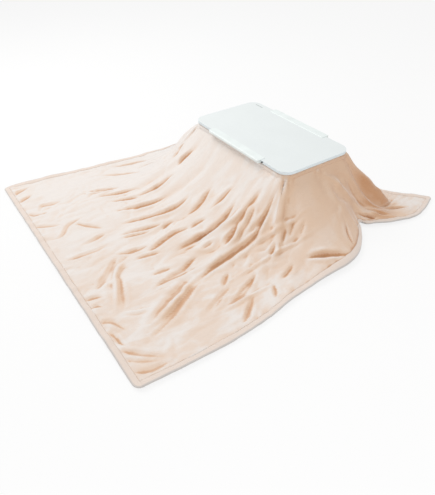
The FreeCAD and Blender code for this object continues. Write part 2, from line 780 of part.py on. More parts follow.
def reflector():
    """Polished sheet with one trough over each tube."""
    half = heater_width * HALF - sheet_thickness
    crest = dish_top - sheet_thickness - reflector_drop
    low = crest - reflector_depth
    ridge = reflector_ridge
    lines = []
    for z in (low, low - reflector_thickness):
        top = z + reflector_depth
        lines.append([
            Part.Arc(Vector(0, -half, z), Vector(0, -tube_centre, top), Vector(0, -ridge, z)).toShape(),
            Part.LineSegment(Vector(0, -ridge, z), Vector(0, ridge, z)).toShape(),
            Part.Arc(Vector(0, ridge, z), Vector(0, tube_centre, top), Vector(0, half, z)).toShape()])
    ends = [Part.LineSegment(Vector(0, y, low), Vector(0, y, low - reflector_thickness)).toShape()
            for y in (-half, half)]
    wire = Part.Wire(lines[0] + [ends[1]] + list(reversed(lines[1])) + [ends[0]])
    sheet = Part.Face(wire).extrude(X * reflector_length)
    sheet.translate(X * (-reflector_length * HALF))
    return sheet


def quartz_tube(side):
    start = Vector(-tube_length * HALF, side * tube_centre, tube_height)
    return Part.makeCylinder(tube_radius, tube_length, start, X).cut(
        Part.makeCylinder(tube_radius - tube_wall, tube_length, start, X))


def heating_element(side):
    start = Vector(-tube_length * HALF, side * tube_centre, tube_height)
    return Part.makeCylinder(element_radius, tube_length, start, X)


def ceramic_holder(sx, sy):
    """Block with a blind bore for a tube's end and a small bore for the lead."""
    end = tube_length * HALF
    y = sy * tube_centre
    x0 = sx * (end - holder_bore_depth)
    x1 = x0 + sx * holder_length
    body = block(x0, x1, y - holder_width * HALF, y + holder_width * HALF,
                 tube_height - holder_height * HALF, tube_height + holder_height * HALF)
    bore = Part.makeCylinder(tube_radius, holder_bore_depth, Vector(x0, y, tube_height), X * sx)
    lead_bore = Part.makeCylinder(holder_wire_bore_radius, holder_length, Vector(x0, y, tube_height), X * sx)
    return body.cut(bore).cut(lead_bore)


def tube_saddle(sx, sy):
    """Bent strip that hangs a ceramic holder from the dish's ceiling."""
    x = sx * (tube_length * HALF - holder_bore_depth + holder_length * HALF)
    y = sy * tube_centre
    half = saddle_width * HALF
    z0 = tube_height + holder_height * HALF
    z1 = dish_top - sheet_thickness
    body = block(x - half, x + half, y - half, y + half, z0, z1)
    room = block(x - half - overrun, x + half + overrun, y - half + saddle_wall, y + half - saddle_wall,
                 z0 + saddle_wall, z1 - saddle_wall)
    return body.cut(room)


def guard_wire(half_span, low, along, place):
    """One guard wire, bent up at both ends to the rim."""
    top = dish_bottom - guard_rim_thickness
    r = wire_bend_radius
    bend = r * (1 - math.sqrt(HALF))

    def at(distance, height):
        return along * distance + place + Z * height

    start = at(-half_span, low + r)
    end = at(half_span, low + r)
    first = at(-half_span + r, low)
    last = at(half_span - r, low)
    edges = [
        Part.LineSegment(at(-half_span, top), start).toShape(),
        Part.Arc(start, at(-half_span + bend, low + bend), first).toShape(),
        Part.LineSegment(first, last).toShape(),
        Part.Arc(last, at(half_span - bend, low + bend), end).toShape(),
        Part.LineSegment(end, at(half_span, top)).toShape()]
    circle = Part.Wire(Part.makeCircle(wire_radius, at(-half_span, top), Z))
    return Part.Wire(edges).makePipeShell([circle], True, False)


def guard():
    """Welded basket of wires under a flat rim that shields the tubes."""
    outer_length = heater_length + 2 * (end_flange - guard_rim_inset)
    outer_width = heater_width + 2 * (side_flange * HALF - guard_rim_inset - seat_gap)
    low = dish_bottom - guard_depth
    rim = rounded_prism(outer_length, outer_width, heater_corner_radius,
                        dish_bottom - guard_rim_thickness, dish_bottom)
    opening = rounded_prism(outer_length - 2 * guard_rim_width, outer_width - 2 * guard_rim_width,
                            heater_corner_radius - guard_rim_width * HALF,
                            dish_bottom - guard_rim_thickness - overrun, dish_bottom + overrun)
    solids = [rim.cut(opening)]
    span_x = (outer_length - guard_rim_width) * HALF
    span_y = (outer_width - guard_rim_width) * HALF
    for i in range(wires_along):
        y = (i - (wires_along - 1) * HALF) * wire_pitch
        solids.append(guard_wire(span_x, low, X, Y * y))
    for i in range(wires_across):
        x = (i - (wires_across - 1) * HALF) * wire_pitch
        solids.append(guard_wire(span_y, low + 2 * wire_radius, Y, X * x))
    return shape_of(solids)


def lead(points):
    """Insulated lead along straight runs joined by arcs."""
    r = lead_bend_radius
    edges = []
    last = points[0]
    for before, corner, after in zip(points, points[1:], points[2:]):
        back = (before - corner).normalize()
        on = (after - corner).normalize()
        start = corner + back * r
        end = corner + on * r
        middle = corner + (back + on) * (r * (1 - math.sqrt(HALF)))
        edges.append(Part.LineSegment(last, start).toShape())
        edges.append(Part.Arc(start, middle, end).toShape())
        last = end
    edges.append(Part.LineSegment(last, points[-1]).toShape())
    circle = Part.Wire(Part.makeCircle(lead_radius, points[0], points[1] - points[0]))
    return Part.Wire(edges).makePipeShell([circle], True, False)


def internal_leads():
    """Two leads from the terminals to the tubes, and a link that joins the far ends."""
    wall = heater_length * HALF - sheet_thickness
    run = wall - lead_run_gap
    holder_back = tube_length * HALF - holder_bore_depth + holder_length
    tail = holder_back - lead_entry
    terminal = heater_length * HALF + terminal_gap
    z = tube_height
    solids = []
    for side in SIDES:
        y = side * tube_centre
        start = Vector(-terminal, side * lead_spacing * HALF, z)
        solids.append(lead([start, Vector(-run, start.y, z), Vector(-run, y, z), Vector(-tail, y, z)]))
    y = tube_centre
    solids.append(lead([Vector(tail, -y, z), Vector(run, -y, z), Vector(run, y, z), Vector(tail, y, z)]))
    return shape_of(solids)


def wiring_parts():
    """Box on the dish's -X end with the gland, terminals, thermostat and fuse."""
    x1 = -heater_length * HALF
    x0 = x1 - box_length
    half = box_width * HALF
    t = sheet_thickness
    shell = block(x0, x1, -half, half, bearer_bottom, dish_top)
    room = block(x0 + t, x1 + overrun, -half + t, half - t, bearer_bottom - overrun, dish_top - t)
    place = Vector(x0 + gland_from_end, 0, dish_bottom)
    body = Part.makeCylinder(gland_radius, gland_inside, place, Z)
    flange = Part.makeCylinder(gland_flange_radius, gland_flange_thickness, place, Z * -1)
    cone = Part.makeCone(gland_radius, gland_tip_radius, gland_outside - gland_flange_thickness,
                         place - Z * gland_flange_thickness, Z * -1)
    bore = Part.makeCylinder(gland_bore_radius, gland_outside + gland_inside, place - Z * gland_outside, Z)
    gland = body.fuse([flange, cone]).removeSplitter().cut(bore)
    box = shell.cut(room)
    cover = block(x0, x1 - end_flange, -half, half, dish_bottom, bearer_bottom).cut(body)
    ceiling = dish_top - t
    terminal_end = x1 - terminal_gap
    terminals = block(terminal_end - terminal_length, terminal_end, -terminal_width * HALF,
                      terminal_width * HALF, ceiling - terminal_height - lead_spacing * HALF, ceiling)
    middle_z = (bearer_bottom + dish_top) * HALF
    thermostat = Part.makeCylinder(thermostat_radius, thermostat_thickness,
                                   Vector(x1, thermostat_offset, middle_z), X * -1)
    fuse_start = Vector(x1 - fuse_radius, -fuse_offset - fuse_length * HALF, middle_z)
    fuse = Part.makeCylinder(fuse_radius, fuse_length, fuse_start, Y)
    return {"wiring_box": box, "wiring_cover": cover, "cord_gland": gland, "terminal_block": terminals,
            "thermostat": thermostat, "thermal_fuse": fuse}


def heater_parts():
    """Heater unit that hangs between the bearers."""
    screws = heater_screws()
    leads = internal_leads()
    parts = {
        "heater_dish": dish().cut(screws).cut(leads),
        "insulation_sheet": rounded_prism(heater_length, heater_width, heater_corner_radius, dish_top,
                                          dish_top + insulation_thickness),
        "reflector": reflector(),
        "quartz_tube_front": quartz_tube(-1),
        "quartz_tube_back": quartz_tube(1),
        "heating_elements": shape_of([heating_element(side) for side in SIDES]),
        "ceramic_holders": shape_of([ceramic_holder(sx, sy) for _, sx, sy in CORNERS]).cut(leads),
        "tube_saddles": shape_of([tube_saddle(sx, sy) for _, sx, sy in CORNERS]),
        "heater_guard": guard(),
        "heater_screws": screws,
        "internal_leads": leads,
    }
    parts.update(wiring_parts())
    return parts


def build():
    parts = {}
    parts.update(board_parts())
    parts.update(futon_parts())
    parts.update(frame_parts())
    parts.update(fitting_parts())
    parts.update(heater_parts())
    for rail in ("bearer_front", "bearer_back"):
        parts[rail] = parts[rail].cut(parts["heater_screws"])
    return parts


for name, shape in build().items():
    shape.translate(Y * table_centre_y)
    shape.exportStep("parts/" + name + ".step")
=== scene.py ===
import json
import math

import bpy
import numpy as np
from bpy.props import FloatProperty, FloatVectorProperty, IntProperty, PointerProperty
from bpy.types import Operator, Panel, PropertyGroup
from mathutils import Matrix, Vector


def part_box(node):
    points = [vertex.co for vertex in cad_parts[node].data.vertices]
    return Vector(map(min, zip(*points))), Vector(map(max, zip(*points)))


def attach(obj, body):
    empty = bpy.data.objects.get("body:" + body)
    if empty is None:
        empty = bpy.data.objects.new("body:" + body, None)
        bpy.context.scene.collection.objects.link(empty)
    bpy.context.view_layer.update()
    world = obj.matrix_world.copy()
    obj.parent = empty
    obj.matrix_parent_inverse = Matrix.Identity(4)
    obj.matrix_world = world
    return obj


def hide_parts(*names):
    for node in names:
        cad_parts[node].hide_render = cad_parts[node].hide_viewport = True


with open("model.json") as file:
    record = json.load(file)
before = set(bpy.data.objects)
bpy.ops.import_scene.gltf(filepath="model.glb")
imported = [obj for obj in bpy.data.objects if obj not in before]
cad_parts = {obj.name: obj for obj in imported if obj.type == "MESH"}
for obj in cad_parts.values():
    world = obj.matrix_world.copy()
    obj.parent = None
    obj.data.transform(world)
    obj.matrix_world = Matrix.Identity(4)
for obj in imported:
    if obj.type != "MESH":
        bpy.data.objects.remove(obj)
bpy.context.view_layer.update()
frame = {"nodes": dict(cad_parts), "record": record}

bl_info = {
    "name": "Heated Table with Futon",
    "version": (1, 0, 0),
    "blender": (4, 5, 0),
    "location": "3D View > Sidebar > Heated Table",
    "description": "Dresses a low heated table: draped plush futon, white board, folding legs and heater",
    "category": "Object",
}

BOARD_LOW, BOARD_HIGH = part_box("board_core")
FRAME_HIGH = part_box("apron_front")[1]
CENTRE = (BOARD_LOW + BOARD_HIGH) / 2

# Where the hem lies on the floor, in metres from the table's centre, from the front corners to the back tips
RIGHT_HEM = ((.951, -1.428), (.958, -1.275), (.964, -1.13), (.963, -.917), (.946, -.73), (.909, -.507),
             (.896, -.275), (.890, -.145), (.858, -.042), (.797, .045), (.742, .10), (.668, .165), (.704, .209),
             (.766, .335), (.805, .492), (.784, .615), (.723, .765))
LEFT_HEM = ((-.970, -1.428), (-.952, -1.193), (-.916, -.92), (-.862, -.556), (-.838, -.30), (-.822, -.12),
            (-.785, .03), (-.725, .14), (-.69, .23), (-.735, .36), (-.775, .50), (-.765, .62), (-.715, .755))
BACK_HEM = ((-.715, .755), (-.64, .70), (-.53, .60), (-.35, .555), (0, .545), (.35, .56), (.53, .594),
            (.646, .696), (.723, .765))
FRONT_HEM = (LEFT_HEM[0], (0, -1.429), RIGHT_HEM[0])

# Main folds: depth and half width in metres, then the line each one follows from the table's centre
FOLDS = (
    (-.022, .030, ((.60, -.36), (.572, -.46), (.54, -.65), (.527, -.806), (.57, -.999), (.743, -1.254))),
    (.014, .030, ((.54, -.44), (.49, -.65), (.475, -.80), (.50, -1.0), (.67, -1.27))),
    (-.020, .024, ((.36, -.38), (.348, -.446), (.31, -.62), (.293, -.742), (.302, -.896))),
    (.012, .026, ((.42, -.42), (.37, -.62), (.35, -.76), (.36, -.90))),
    (.020, .026, ((.454, -.27), (.50, -.309), (.57, -.366), (.64, -.44))),
    (-.020, .028, ((.50, -.24), (.58, -.27), (.66, -.32))),
    (.022, .032, ((.476, -.007), (.56, .035), (.649, .08), (.70, .10))),
    (-.024, .040, ((.50, .20), (.60, .225), (.66, .235))),
    (-.012, .024, ((.10, -.50), (.06, -.72), (.05, -.95), (.08, -1.12))),
    (-.012, .022, ((-.12, -.42), (-.16, -.66), (-.17, -.88), (-.14, -1.10))),
    (-.012, .022, ((-.30, -.36), (-.38, -.60), (-.42, -.85))),
    (.010, .026, ((-.02, -.42), (-.06, -.70), (-.06, -.95))),
)

# Smaller folds and creases: depth and half width in metres, then the line each one follows on the flat quilt
CREASES = (
    (-.012, .0135, ((.25, -.47), (.28, -.57), (.30, -.71), (.28, -.80), (.27, -.91), (.29, -.98))),
    (-.006, .012, ((.04, -.84), (.01, -.94), (-.03, -1.09), (-.04, -1.17))),
    (-.014, .0135, ((.42, -.27), (.45, -.36), (.49, -.46), (.53, -.58), (.52, -.70), (.51, -.86), (.54, -1.0),
                   (.56, -1.07))),
    (-.008, .0135, ((.38, -.43), (.42, -.52), (.45, -.60), (.49, -.69))),
    (-.008, .0135, ((.38, -.58), (.41, -.65), (.45, -.75))),
    (-.008, .0135, ((.52, -.90), (.55, -.98), (.58, -1.05), (.62, -1.12), (.67, -1.21), (.71, -1.30),
                    (.74, -1.40))),
    (-.007, .012, ((.46, -.91), (.45, -1.03), (.45, -1.13), (.47, -1.22))),
    (-.009, .015, ((.11, -1.22), (.18, -1.29), (.26, -1.37), (.30, -1.43), (.27, -1.49))),
    (-.008, .0135, ((.68, -.67), (.72, -.76), (.75, -.84), (.76, -.91), (.76, -.98))),
    (-.006, .012, ((.58, -.80), (.61, -.85), (.66, -.91))),
    (-.007, .012, ((.79, -.80), (.83, -.85), (.88, -.93), (.90, -.98))),
    (-.005, .012, ((.80, -.66), (.85, -.69), (.89, -.73))),
    (-.006, .012, ((.70, -.93), (.72, -.98), (.75, -1.03))),
    (-.016, .0135, ((.80, -.43), (.84, -.34), (.88, -.26), (.92, -.19), (.93, -.13))),
    (-.007, .012, ((.62, -.30), (.65, -.36), (.67, -.42))),
    (-.005, .012, ((.67, -.25), (.69, -.30), (.71, -.35))),
    (-.008, .0135, ((.85, .17), (.87, .24), (.90, .34))),
    (-.007, .012, ((.80, -.01), (.84, -.06), (.88, -.09), (.92, -.11))),
    (.010, .018, ((.35, -.30), (.34, -.41), (.35, -.55), (.33, -.68), (.32, -.80), (.33, -.90))),
    (.012, .028, ((.43, -.25), (.47, -.30), (.52, -.36), (.57, -.42), (.62, -.48))),
    (.014, .024, ((.50, .01), (.56, .065), (.64, .11), (.72, .15), (.80, .17))),
    (-.020, .034, ((.54, .17), (.62, .20), (.70, .23), (.765, .27), (.79, .34), (.80, .44))),
    (-.007, .012, ((.79, .235), (.82, .32), (.87, .38), (.89, .46))),
    (-.008, .0135, ((.84, .236), (.865, .27), (.917, .31))),
    (-.006, .012, ((.78, .47), (.81, .61), (.86, .69))),
    (-.006, .012, ((.77, .41), (.71, .71), (.75, .77))),
    (.011, .016, ((.49, -.93), (.53, -1.03), (.57, -1.10), (.61, -1.18), (.65, -1.27), (.69, -1.38))),
    (.050, .060, ((.44, .23), (.52, .32), (.59, .41), (.66, .53), (.74, .70))),
    (.034, .070, ((-.44, -.12), (-.54, -.20), (-.64, -.27), (-.76, -.33))),
    (.008, .015, ((.17, -1.22), (.24, -1.29), (.31, -1.35))),
    (.006, .012, ((.50, -1.52), (.57, -1.48), (.63, -1.45), (.68, -1.43))),
    (-.006, .012, ((-.77, -.53), (-.81, -.62), (-.86, -.81))),
    (-.006, .012, ((-.59, -.43), (-.58, -.53), (-.67, -.63), (-.68, -.73))),
    (-.006, .012, ((-.57, -.69), (-.66, -.76), (-.73, -.86), (-.78, -.96))),
    (-.006, .012, ((-.54, -.95), (-.55, -1.03), (-.56, -1.12))),
    (-.006, .012, ((.13, -1.03), (.14, -1.11), (.13, -1.18), (.09, -1.26))),
    (-.006, .012, ((.21, -.68), (.19, -.75), (.19, -.82))),
    (-.006, .012, ((-.31, -1.32), (-.22, -1.25), (-.15, -1.18))),
    (.0045, .0085, ((.63, -.12), (.63, -.26), (.59, -.44), (.55, -.62), (.53, -.74))),
    (.0045, .0085, ((.74, -.13), (.73, -.31), (.68, -.54), (.64, -.78), (.65, -1.02))),
    (.0045, .0085, ((.83, -.56), (.79, -.77), (.78, -.96), (.76, -1.17))),
    (-.006, .012, ((.48, -1.56), (.52, -1.52), (.55, -1.47), (.60, -1.45), (.65, -1.44))),
    (-.006, .012, ((.53, -1.55), (.58, -1.53), (.64, -1.50), (.69, -1.49), (.74, -1.47))),
    (-.007, .012, ((.67, -1.53), (.71, -1.52), (.74, -1.50), (.79, -1.45), (.83, -1.40), (.87, -1.34))),
    (-.006, .012, ((.75, -1.56), (.79, -1.51), (.82, -1.47), (.85, -1.41), (.87, -1.35))),
    (-.006, .012, ((.83, -1.57), (.85, -1.53), (.87, -1.50), (.89, -1.45), (.89, -1.39), (.90, -1.33))),
    (-.005, .012, ((.33, -1.58), (.34, -1.54), (.35, -1.51), (.36, -1.46), (.38, -1.42))),
    (-.005, .012, ((.41, -1.57), (.42, -1.53), (.42, -1.49), (.45, -1.45))),
    (-.005, .012, ((-.76, -1.58), (-.79, -1.54), (-.83, -1.49), (-.86, -1.42), (-.86, -1.37))),
    (-.005, .012, ((-.69, -1.58), (-.71, -1.52), (-.73, -1.47), (-.77, -1.40))),
    (-.005, .012, ((-.62, -1.56), (-.57, -1.53), (-.52, -1.49), (-.51, -1.44), (-.50, -1.38))),
    (-.005, .012, ((-.41, -1.59), (-.40, -1.54), (-.38, -1.49), (-.35, -1.43), (-.33, -1.36))),
    (-.007, .012, ((-.53, -1.45), (-.59, -1.41), (-.58, -1.34), (-.59, -1.27))),
    (-.005, .012, ((-.24, -1.51), (-.22, -1.46), (-.23, -1.41), (-.30, -1.35), (-.33, -1.27), (-.33, -1.22))),
    (-.006, .012, ((-.010, -1.51), (.01, -1.46), (.01, -1.41), (.01, -1.35), (.01, -1.29), (-.010, -1.21))),
    (-.007, .012, ((-.08, -1.37), (-.08, -1.31), (-.09, -1.25), (-.11, -1.19))),
    (-.006, .012, ((-.61, -1.12), (-.57, -1.04), (-.54, -.96), (-.51, -.90))),
    (-.006, .012, ((-.50, -1.10), (-.49, -1.04), (-.46, -.96), (-.43, -.88), (-.40, -.81))),
    (-.006, .012, ((-.42, -1.07), (-.39, -1.01), (-.36, -.95), (-.31, -.88), (-.28, -.81))),
    (-.006, .012, ((-.29, -1.08), (-.26, -1.00), (-.23, -.93), (-.20, -.86), (-.18, -.79))),
    (-.006, .012, ((-.14, -1.10), (-.13, -1.04), (-.11, -.98), (-.09, -.92), (-.07, -.86))),
    (-.007, .012, ((-.010, -1.17), (0, -1.10), (.02, -1.01), (.03, -.93))),
    (.007, .014, ((.19, -1.29), (.30, -1.33), (.41, -1.38), (.53, -1.44))),
    (-.005, .013, ((.27, -1.29), (.37, -1.33), (.47, -1.37), (.53, -1.41))),
    (.005, .01, ((.52, -1.41), (.54, -1.37), (.56, -1.32), (.58, -1.25))),
    (-.010, .0135, ((-.46, -.36), (-.45, -.42), (-.42, -.48), (-.41, -.55))),
    (-.009, .0135, ((-.31, -.39), (-.32, -.44), (-.33, -.49), (-.32, -.56))),
    (-.009, .0135, ((-.27, -.57), (-.29, -.64), (-.29, -.70), (-.30, -.78), (-.32, -.86), (-.35, -.94))),
    (-.007, .012, ((-.17, -.72), (-.18, -.79), (-.20, -.86), (-.22, -.93), (-.23, -1.01))),
    (-.010, .0135, ((-.06, -.63), (-.03, -.69), (-.03, -.76), (-.05, -.84), (-.08, -.92), (-.10, -1.01))),
    (-.008, .0135, ((.04, -.51), (.05, -.57), (.07, -.63), (.08, -.70), (.07, -.76))),
    (-.008, .0135, ((.18, -.42), (.17, -.48), (.17, -.53), (.17, -.60), (.17, -.66))),
    (-.009, .0135, ((.18, -.77), (.17, -.83), (.15, -.89), (.16, -.97), (.18, -1.05), (.18, -1.13))),
    (-.006, .012, ((.05, -.82), (.05, -.88), (.07, -.93))),
    (-.006, .012, ((.24, -1.01), (.22, -1.07), (.21, -1.12), (.21, -1.19))),
    (-.009, .0135, ((.39, -.87), (.40, -.93), (.43, -1.01), (.44, -1.09), (.46, -1.18))),
    (-.006, .012, ((.38, -1.03), (.37, -1.10), (.37, -1.17))),
    (-.012, .018, ((.41, -.59), (.41, -.64), (.43, -.70), (.45, -.76))),
    (-.008, .0135, ((.46, -.42), (.48, -.46), (.49, -.52), (.50, -.61))),
    (.008, .014, ((.39, -.42), (.38, -.48), (.41, -.54), (.46, -.61))),
    (-.006, .012, ((.37, -.75), (.37, -.80), (.37, -.86))),
    (-.008, .0135, ((.67, -.85), (.69, -.94), (.72, -1.01), (.75, -1.09))),
    (-.007, .012, ((.70, -.71), (.72, -.77), (.73, -.83), (.75, -.89))),
    (-.007, .012, ((.79, -.48), (.81, -.54), (.82, -.62))),
    (-.007, .012, ((.63, -.47), (.66, -.53), (.69, -.59))),
    (-.007, .012, ((.63, -.35), (.64, -.41), (.68, -.47))),
)

# The tent that the cloth falls from: run in metres and hollowness of its slopes, and a length past all of them
SIDE_SLOPE = (0.40, 1.4)
FRONT_SLOPE = (0.62, 1.5)
BACK_SLOPE = (0.34, 1.3)
LONGEST_DROP = 1.6

# The table as the falling cloth meets it, in metres: how far the frame lies inside the board's edge, the radius
# of its corners, how far its top stays under the quilt's middle, and the tent's foot over the floor
FRAME_INSET = 0.008
FRAME_CORNER = 0.055
BLOCK_DROP = 0.0065
TENT_FOOT = 0.0092

# Least gaps in metres: of any face from the frame and the floor, of the quilt's middle, and of the hem
GAP = 0.0002
MIDDLE_GAP = 0.0003
HEM_GAP = 0.0004

# How the cloth falls: grid step of a quick try, cloth lengthwise over the length of its hem, and its settings
LENGTHWISE_FULLNESS = 1.03
CLOTH = {"quality": 6, "mass": 0.3, "tension_stiffness": 20, "compression_stiffness": 20, "shear_stiffness": 5,
         "tension_damping": 10, "compression_damping": 10, "shear_damping": 10, "bending_damping": 0.5,
         "air_damping": 3, "vertex_group_mass": "held"}
CONTACT = {"distance_min": 0.006, "collision_quality": 3, "use_self_collision": False}

# Stretches in metres over which the fallen cloth's smoothing sets in: from the hem, and past the frame
SMOOTH_FROM_HEM = (0.03, 0.10)
SMOOTH_PAST_FRAME = (0.008, 0.035)

# Stretches in metres over which the soft wrinkles set in: before, beside and behind the table
WRINKLED_AHEAD = (0.10, 0.26)
WRINKLED_BESIDE = (0.12, 0.30)
WRINKLED_BEHIND = (0.06, 0.20)

# Soft wrinkles: width and length of a wave in metres, shift and seed of its noise, sharpness, share of the depth
LONG_WRINKLES = ((0.060, 0.30), (60, 60), 12, 0.7, 0.90)
SHORT_WRINKLES = ((0.034, 0.19), (60, 60), 13, 0.8, 0.45)
CROSS_WRINKLES = ((0.12, 0.075), (20, 80), 14, 0.8, 0.50)

# Puckers along the hem, in metres: height, how far they reach inwards, and their lowest and highest on the hem
PUCKER_HEIGHT = 0.0060
PUCKER_REACH = 0.055
HEM_PUCKER = (-0.002, 0.004)

# Half width in metres from which a fold is even along its length, and the share of the padding a crease squeezes
BROAD_FOLD = 0.03
CREASE_SQUEEZE = 0.6

# How the padding thins towards the stitches: share of its thickness, and over how many metres
EDGE_PINCH = 0.45
PINCH_REACH = 0.008

# Hollows darkened with painted shade in the pile colour: rounds and reach of the blur that finds them, the
# depths in metres at which the painted shade begins to show and shows in full, and its weight
SHADED_HOLLOWS = ((5, 1, 0.0002, 0.0020, 0.50), (24, 1, 0.0012, 0.0102, 0.80), (8, 8, 0.014, 0.044, 0.90))

# Painted shade in the pile colour where the cloth turns from the key lamp: on cloth that faces right, on cloth
# that faces back, and on the flap behind the right side, painted darker still
SHADE_FACING_RIGHT = 1.3
SHADE_FACING_BACK = 1.35
FLAP_SHADE = 1.4

# The hem's section: share of its width outwards from the stitches, share of half its height
HEM_SECTION = ((0.0, .40), (.05, .50), (.14, .70), (.32, .96), (.55, 1.0), (.78, .88), (.93, .60), (1.0, .15),
               (1.0, -.15), (.93, -.55), (.78, -.85), (.5, -1.0), (.2, -.85), (.05, -.55), (0.0, -.40))

# Places a metre along the hem, and steps of its turn at each corner
HEM_PLACES = 120
HEM_TURN = 9

# A stitch from end to end: share of its length from its middle, share of its thread's thickness
STITCH = ((-.5, .35), (-.25, 1.0), (.25, 1.0), (.5, .35))

# Slots whose grain or drawn lines follow each piece's longest side
GRAINED = ("pale_wood", "leg_wood", "zinc_steel")


def colour(name, description, value):
    return FloatVectorProperty(name=name, description=description, subtype="COLOR", size=3, min=0, max=1,
                               default=value)


def length(name, description, value):
    return FloatProperty(name=name, description=description, unit="LENGTH", default=value)


def amount(name, description, value, high=10.0):
    return FloatProperty(name=name, description=description, min=0.0, max=high, default=value)


def angle(name, description, degrees):
    return FloatProperty(name=name, description=description, subtype="ANGLE", default=math.radians(degrees))


class FutonSettings(PropertyGroup):
    width: length("Width", "Width the quilt was cut to", 1.90)
    length: length("Length", "Length the quilt was cut to", 2.40)
    front_drop: length("Front drop", "Flat length from the table's front edge to the front hem", 1.31)
    thickness: length("Thickness", "Thickness of the quilt", 0.0112)
    cloth_step: length("Cloth step", "Grid step of the cloth simulation", 0.0125)
    mesh_step: length("Mesh step", "Grid step of the finished quilt", 0.0076)
    frames: IntProperty(name="Frames", description="Frames that the cloth falls for", default=32, min=1)
    fullness: amount("Fullness", "Cloth across the quilt over the length of its hem", 1.09)
    stiffness: amount("Stiffness", "Resistance of the padded quilt to bending", 4.0, 100.0)
    hem_width: length("Hem width", "Width of the sewn hem", 0.036)
    hem_height: length("Hem height", "Thickness of the padded hem", 0.0145)
    stitch_length: length("Stitch length", "Length of one stitch", 0.0056)
    stitch_pitch: length("Stitch pitch", "Distance from one stitch to the next", 0.0084)
    wrinkle_depth: length("Wrinkle depth", "Depth of the small soft wrinkles", 0.0060)
    plush: colour("Plush", "Pile where it lies open", (0.778, 0.746, 0.718))
    # Plush from the side is the plush painted as in shade, for cloth turned from the key lamp. Plush in creases
    # is its painted deep shade, and also the dark of the fine pile grain.
    plush_side: colour("Plush from the side", "Pile seen against its lie", (0.75, 0.54, 0.388))
    plush_deep: colour("Plush in creases", "Deep in the pile", (0.575, 0.30, 0.15))
    hem_rim: colour("Hem rim", "Paler outer rim of the hem", (0.60, 0.57, 0.55))
    thread: colour("Thread", "Sewing thread", (0.60, 0.44, 0.32))


class BoardSettings(PropertyGroup):
    white: colour("White", "Melamine face", (0.80, 0.845, 0.845))
    grip: colour("Grip", "Moulded grips on the long sides", (0.84, 0.90, 0.89))
    core: colour("Core", "Wood-fibre core", (0.42, 0.30, 0.19))
    plate: colour("Plate", "Small bare plate", (0.50, 0.55, 0.54))
    stop: colour("Stops", "Dark rubber stops", (0.075, 0.08, 0.08))


class FittingSettings(PropertyGroup):
    wood: colour("Wood", "Lacquered frame wood", (0.62, 0.44, 0.27))
    leg_paint: colour("Leg paint", "Painted legs", (0.78, 0.77, 0.73))
    plastic: colour("Corner plastic", "Moulded corner blocks", (0.62, 0.62, 0.59))
    nylon: colour("Nylon", "Bushes that the legs turn on", (0.80, 0.80, 0.75))
    foot: colour("Foot plastic", "Feet under the legs", (0.10, 0.09, 0.08))
    zinc: colour("Zinc", "Plated brackets and screws", (0.58, 0.59, 0.60))


class HeaterSettings(PropertyGroup):
    sheet: colour("Sheet steel", "Galvanised dish and wiring box", (0.50, 0.51, 0.52))
    wire: colour("Guard", "Flocked guard wire", (0.11, 0.055, 0.035))
    element: colour("Element", "Oxidised heating wire", (0.16, 0.13, 0.11))
    ceramic: colour("Ceramic", "Holders and terminal block", (0.78, 0.75, 0.66))
    felt: colour("Felt", "Insulation over the dish", (0.30, 0.29, 0.27))
    rubber: colour("Gland", "Rubber cord gland", (0.025, 0.025, 0.026))
    reflector: colour("Reflector", "Polished reflector sheet", (0.88, 0.88, 0.89))
    thermostat: colour("Thermostat", "Plated thermostat and fuse", (0.62, 0.58, 0.48))
    sleeve: colour("Sleeves", "Braided sleeves of the internal leads", (0.72, 0.69, 0.58))
    winding_pitch: length("Winding pitch", "Distance between turns of the heating wire", 0.0034)
    winding_wire: length("Winding wire", "Radius of the heating wire", 0.00045)
    wound_share: amount("Wound share", "Share of the tube's length that is wound", 0.82, 1.0)


class StageSettings(PropertyGroup):
    floor: colour("Floor", "Pale floor", (0.88, 0.88, 0.88))
    floor_white: amount("White share", "Share of plain white that the camera sees in the floor", 0.80, 1.0)
    world: amount("World", "Strength of the light from all round", 0.84)
    key: amount("Key light", "Power of the large soft lamp, in watts", 104.0, 2000)
    fill: amount("Fill light", "Power of the weak lamp opposite, in watts", 30.0, 2000)
    lens: FloatProperty(name="Lens", description="Focal length", unit="CAMERA", default=488.6 * 36 / 495)
    yaw: angle("Yaw", "Heading of the camera", 56.15)
    pitch: angle("Pitch", "Tilt of the camera below the horizon", 38.32)
    roll: angle("Roll", "Roll of the camera", -0.91)
    place: FloatVectorProperty(name="Place", description="Camera's place from the table's centre on the floor",
                               subtype="TRANSLATION", default=(2.127, -1.811, 1.686))


class Sock:
    """One output of a node tree, with the arithmetic of its values."""

    def __init__(self, tree, socket):
        self.tree = tree
        self.socket = socket

    def math(self, operation, *values, clamp=False):
        return self.tree.node("ShaderNodeMath", {"operation": operation, "use_clamp": clamp}, *values)

    def __add__(self, other):
        return self.math("ADD", self, other)

    def __sub__(self, other):
        return self.math("SUBTRACT", self, other)

    def __rsub__(self, other):
        return self.math("SUBTRACT", other, self)

    def __mul__(self, other):
        return self.math("MULTIPLY", self, other)

    __radd__ = __add__
    __rmul__ = __mul__

    def clamp(self):
        return self.math("ADD", self, 0.0, clamp=True)

    def wave(self):
        """0 at even numbers and 1 at odd ones."""
        return self.math("PINGPONG", self, 1.0)

    def step(self, low, high):
        """Rises smoothly from 0 at low to 1 at high."""
        smooth = {"interpolation_type": "SMOOTHSTEP"}
        return self.tree.node("ShaderNodeMapRange", smooth, self, low, high, 0.0, 1.0)


def set_all(made, values):
    """Sets each named value on what was made, and returns it."""
    for key, value in values.items():
        setattr(made, key, value)
    return made


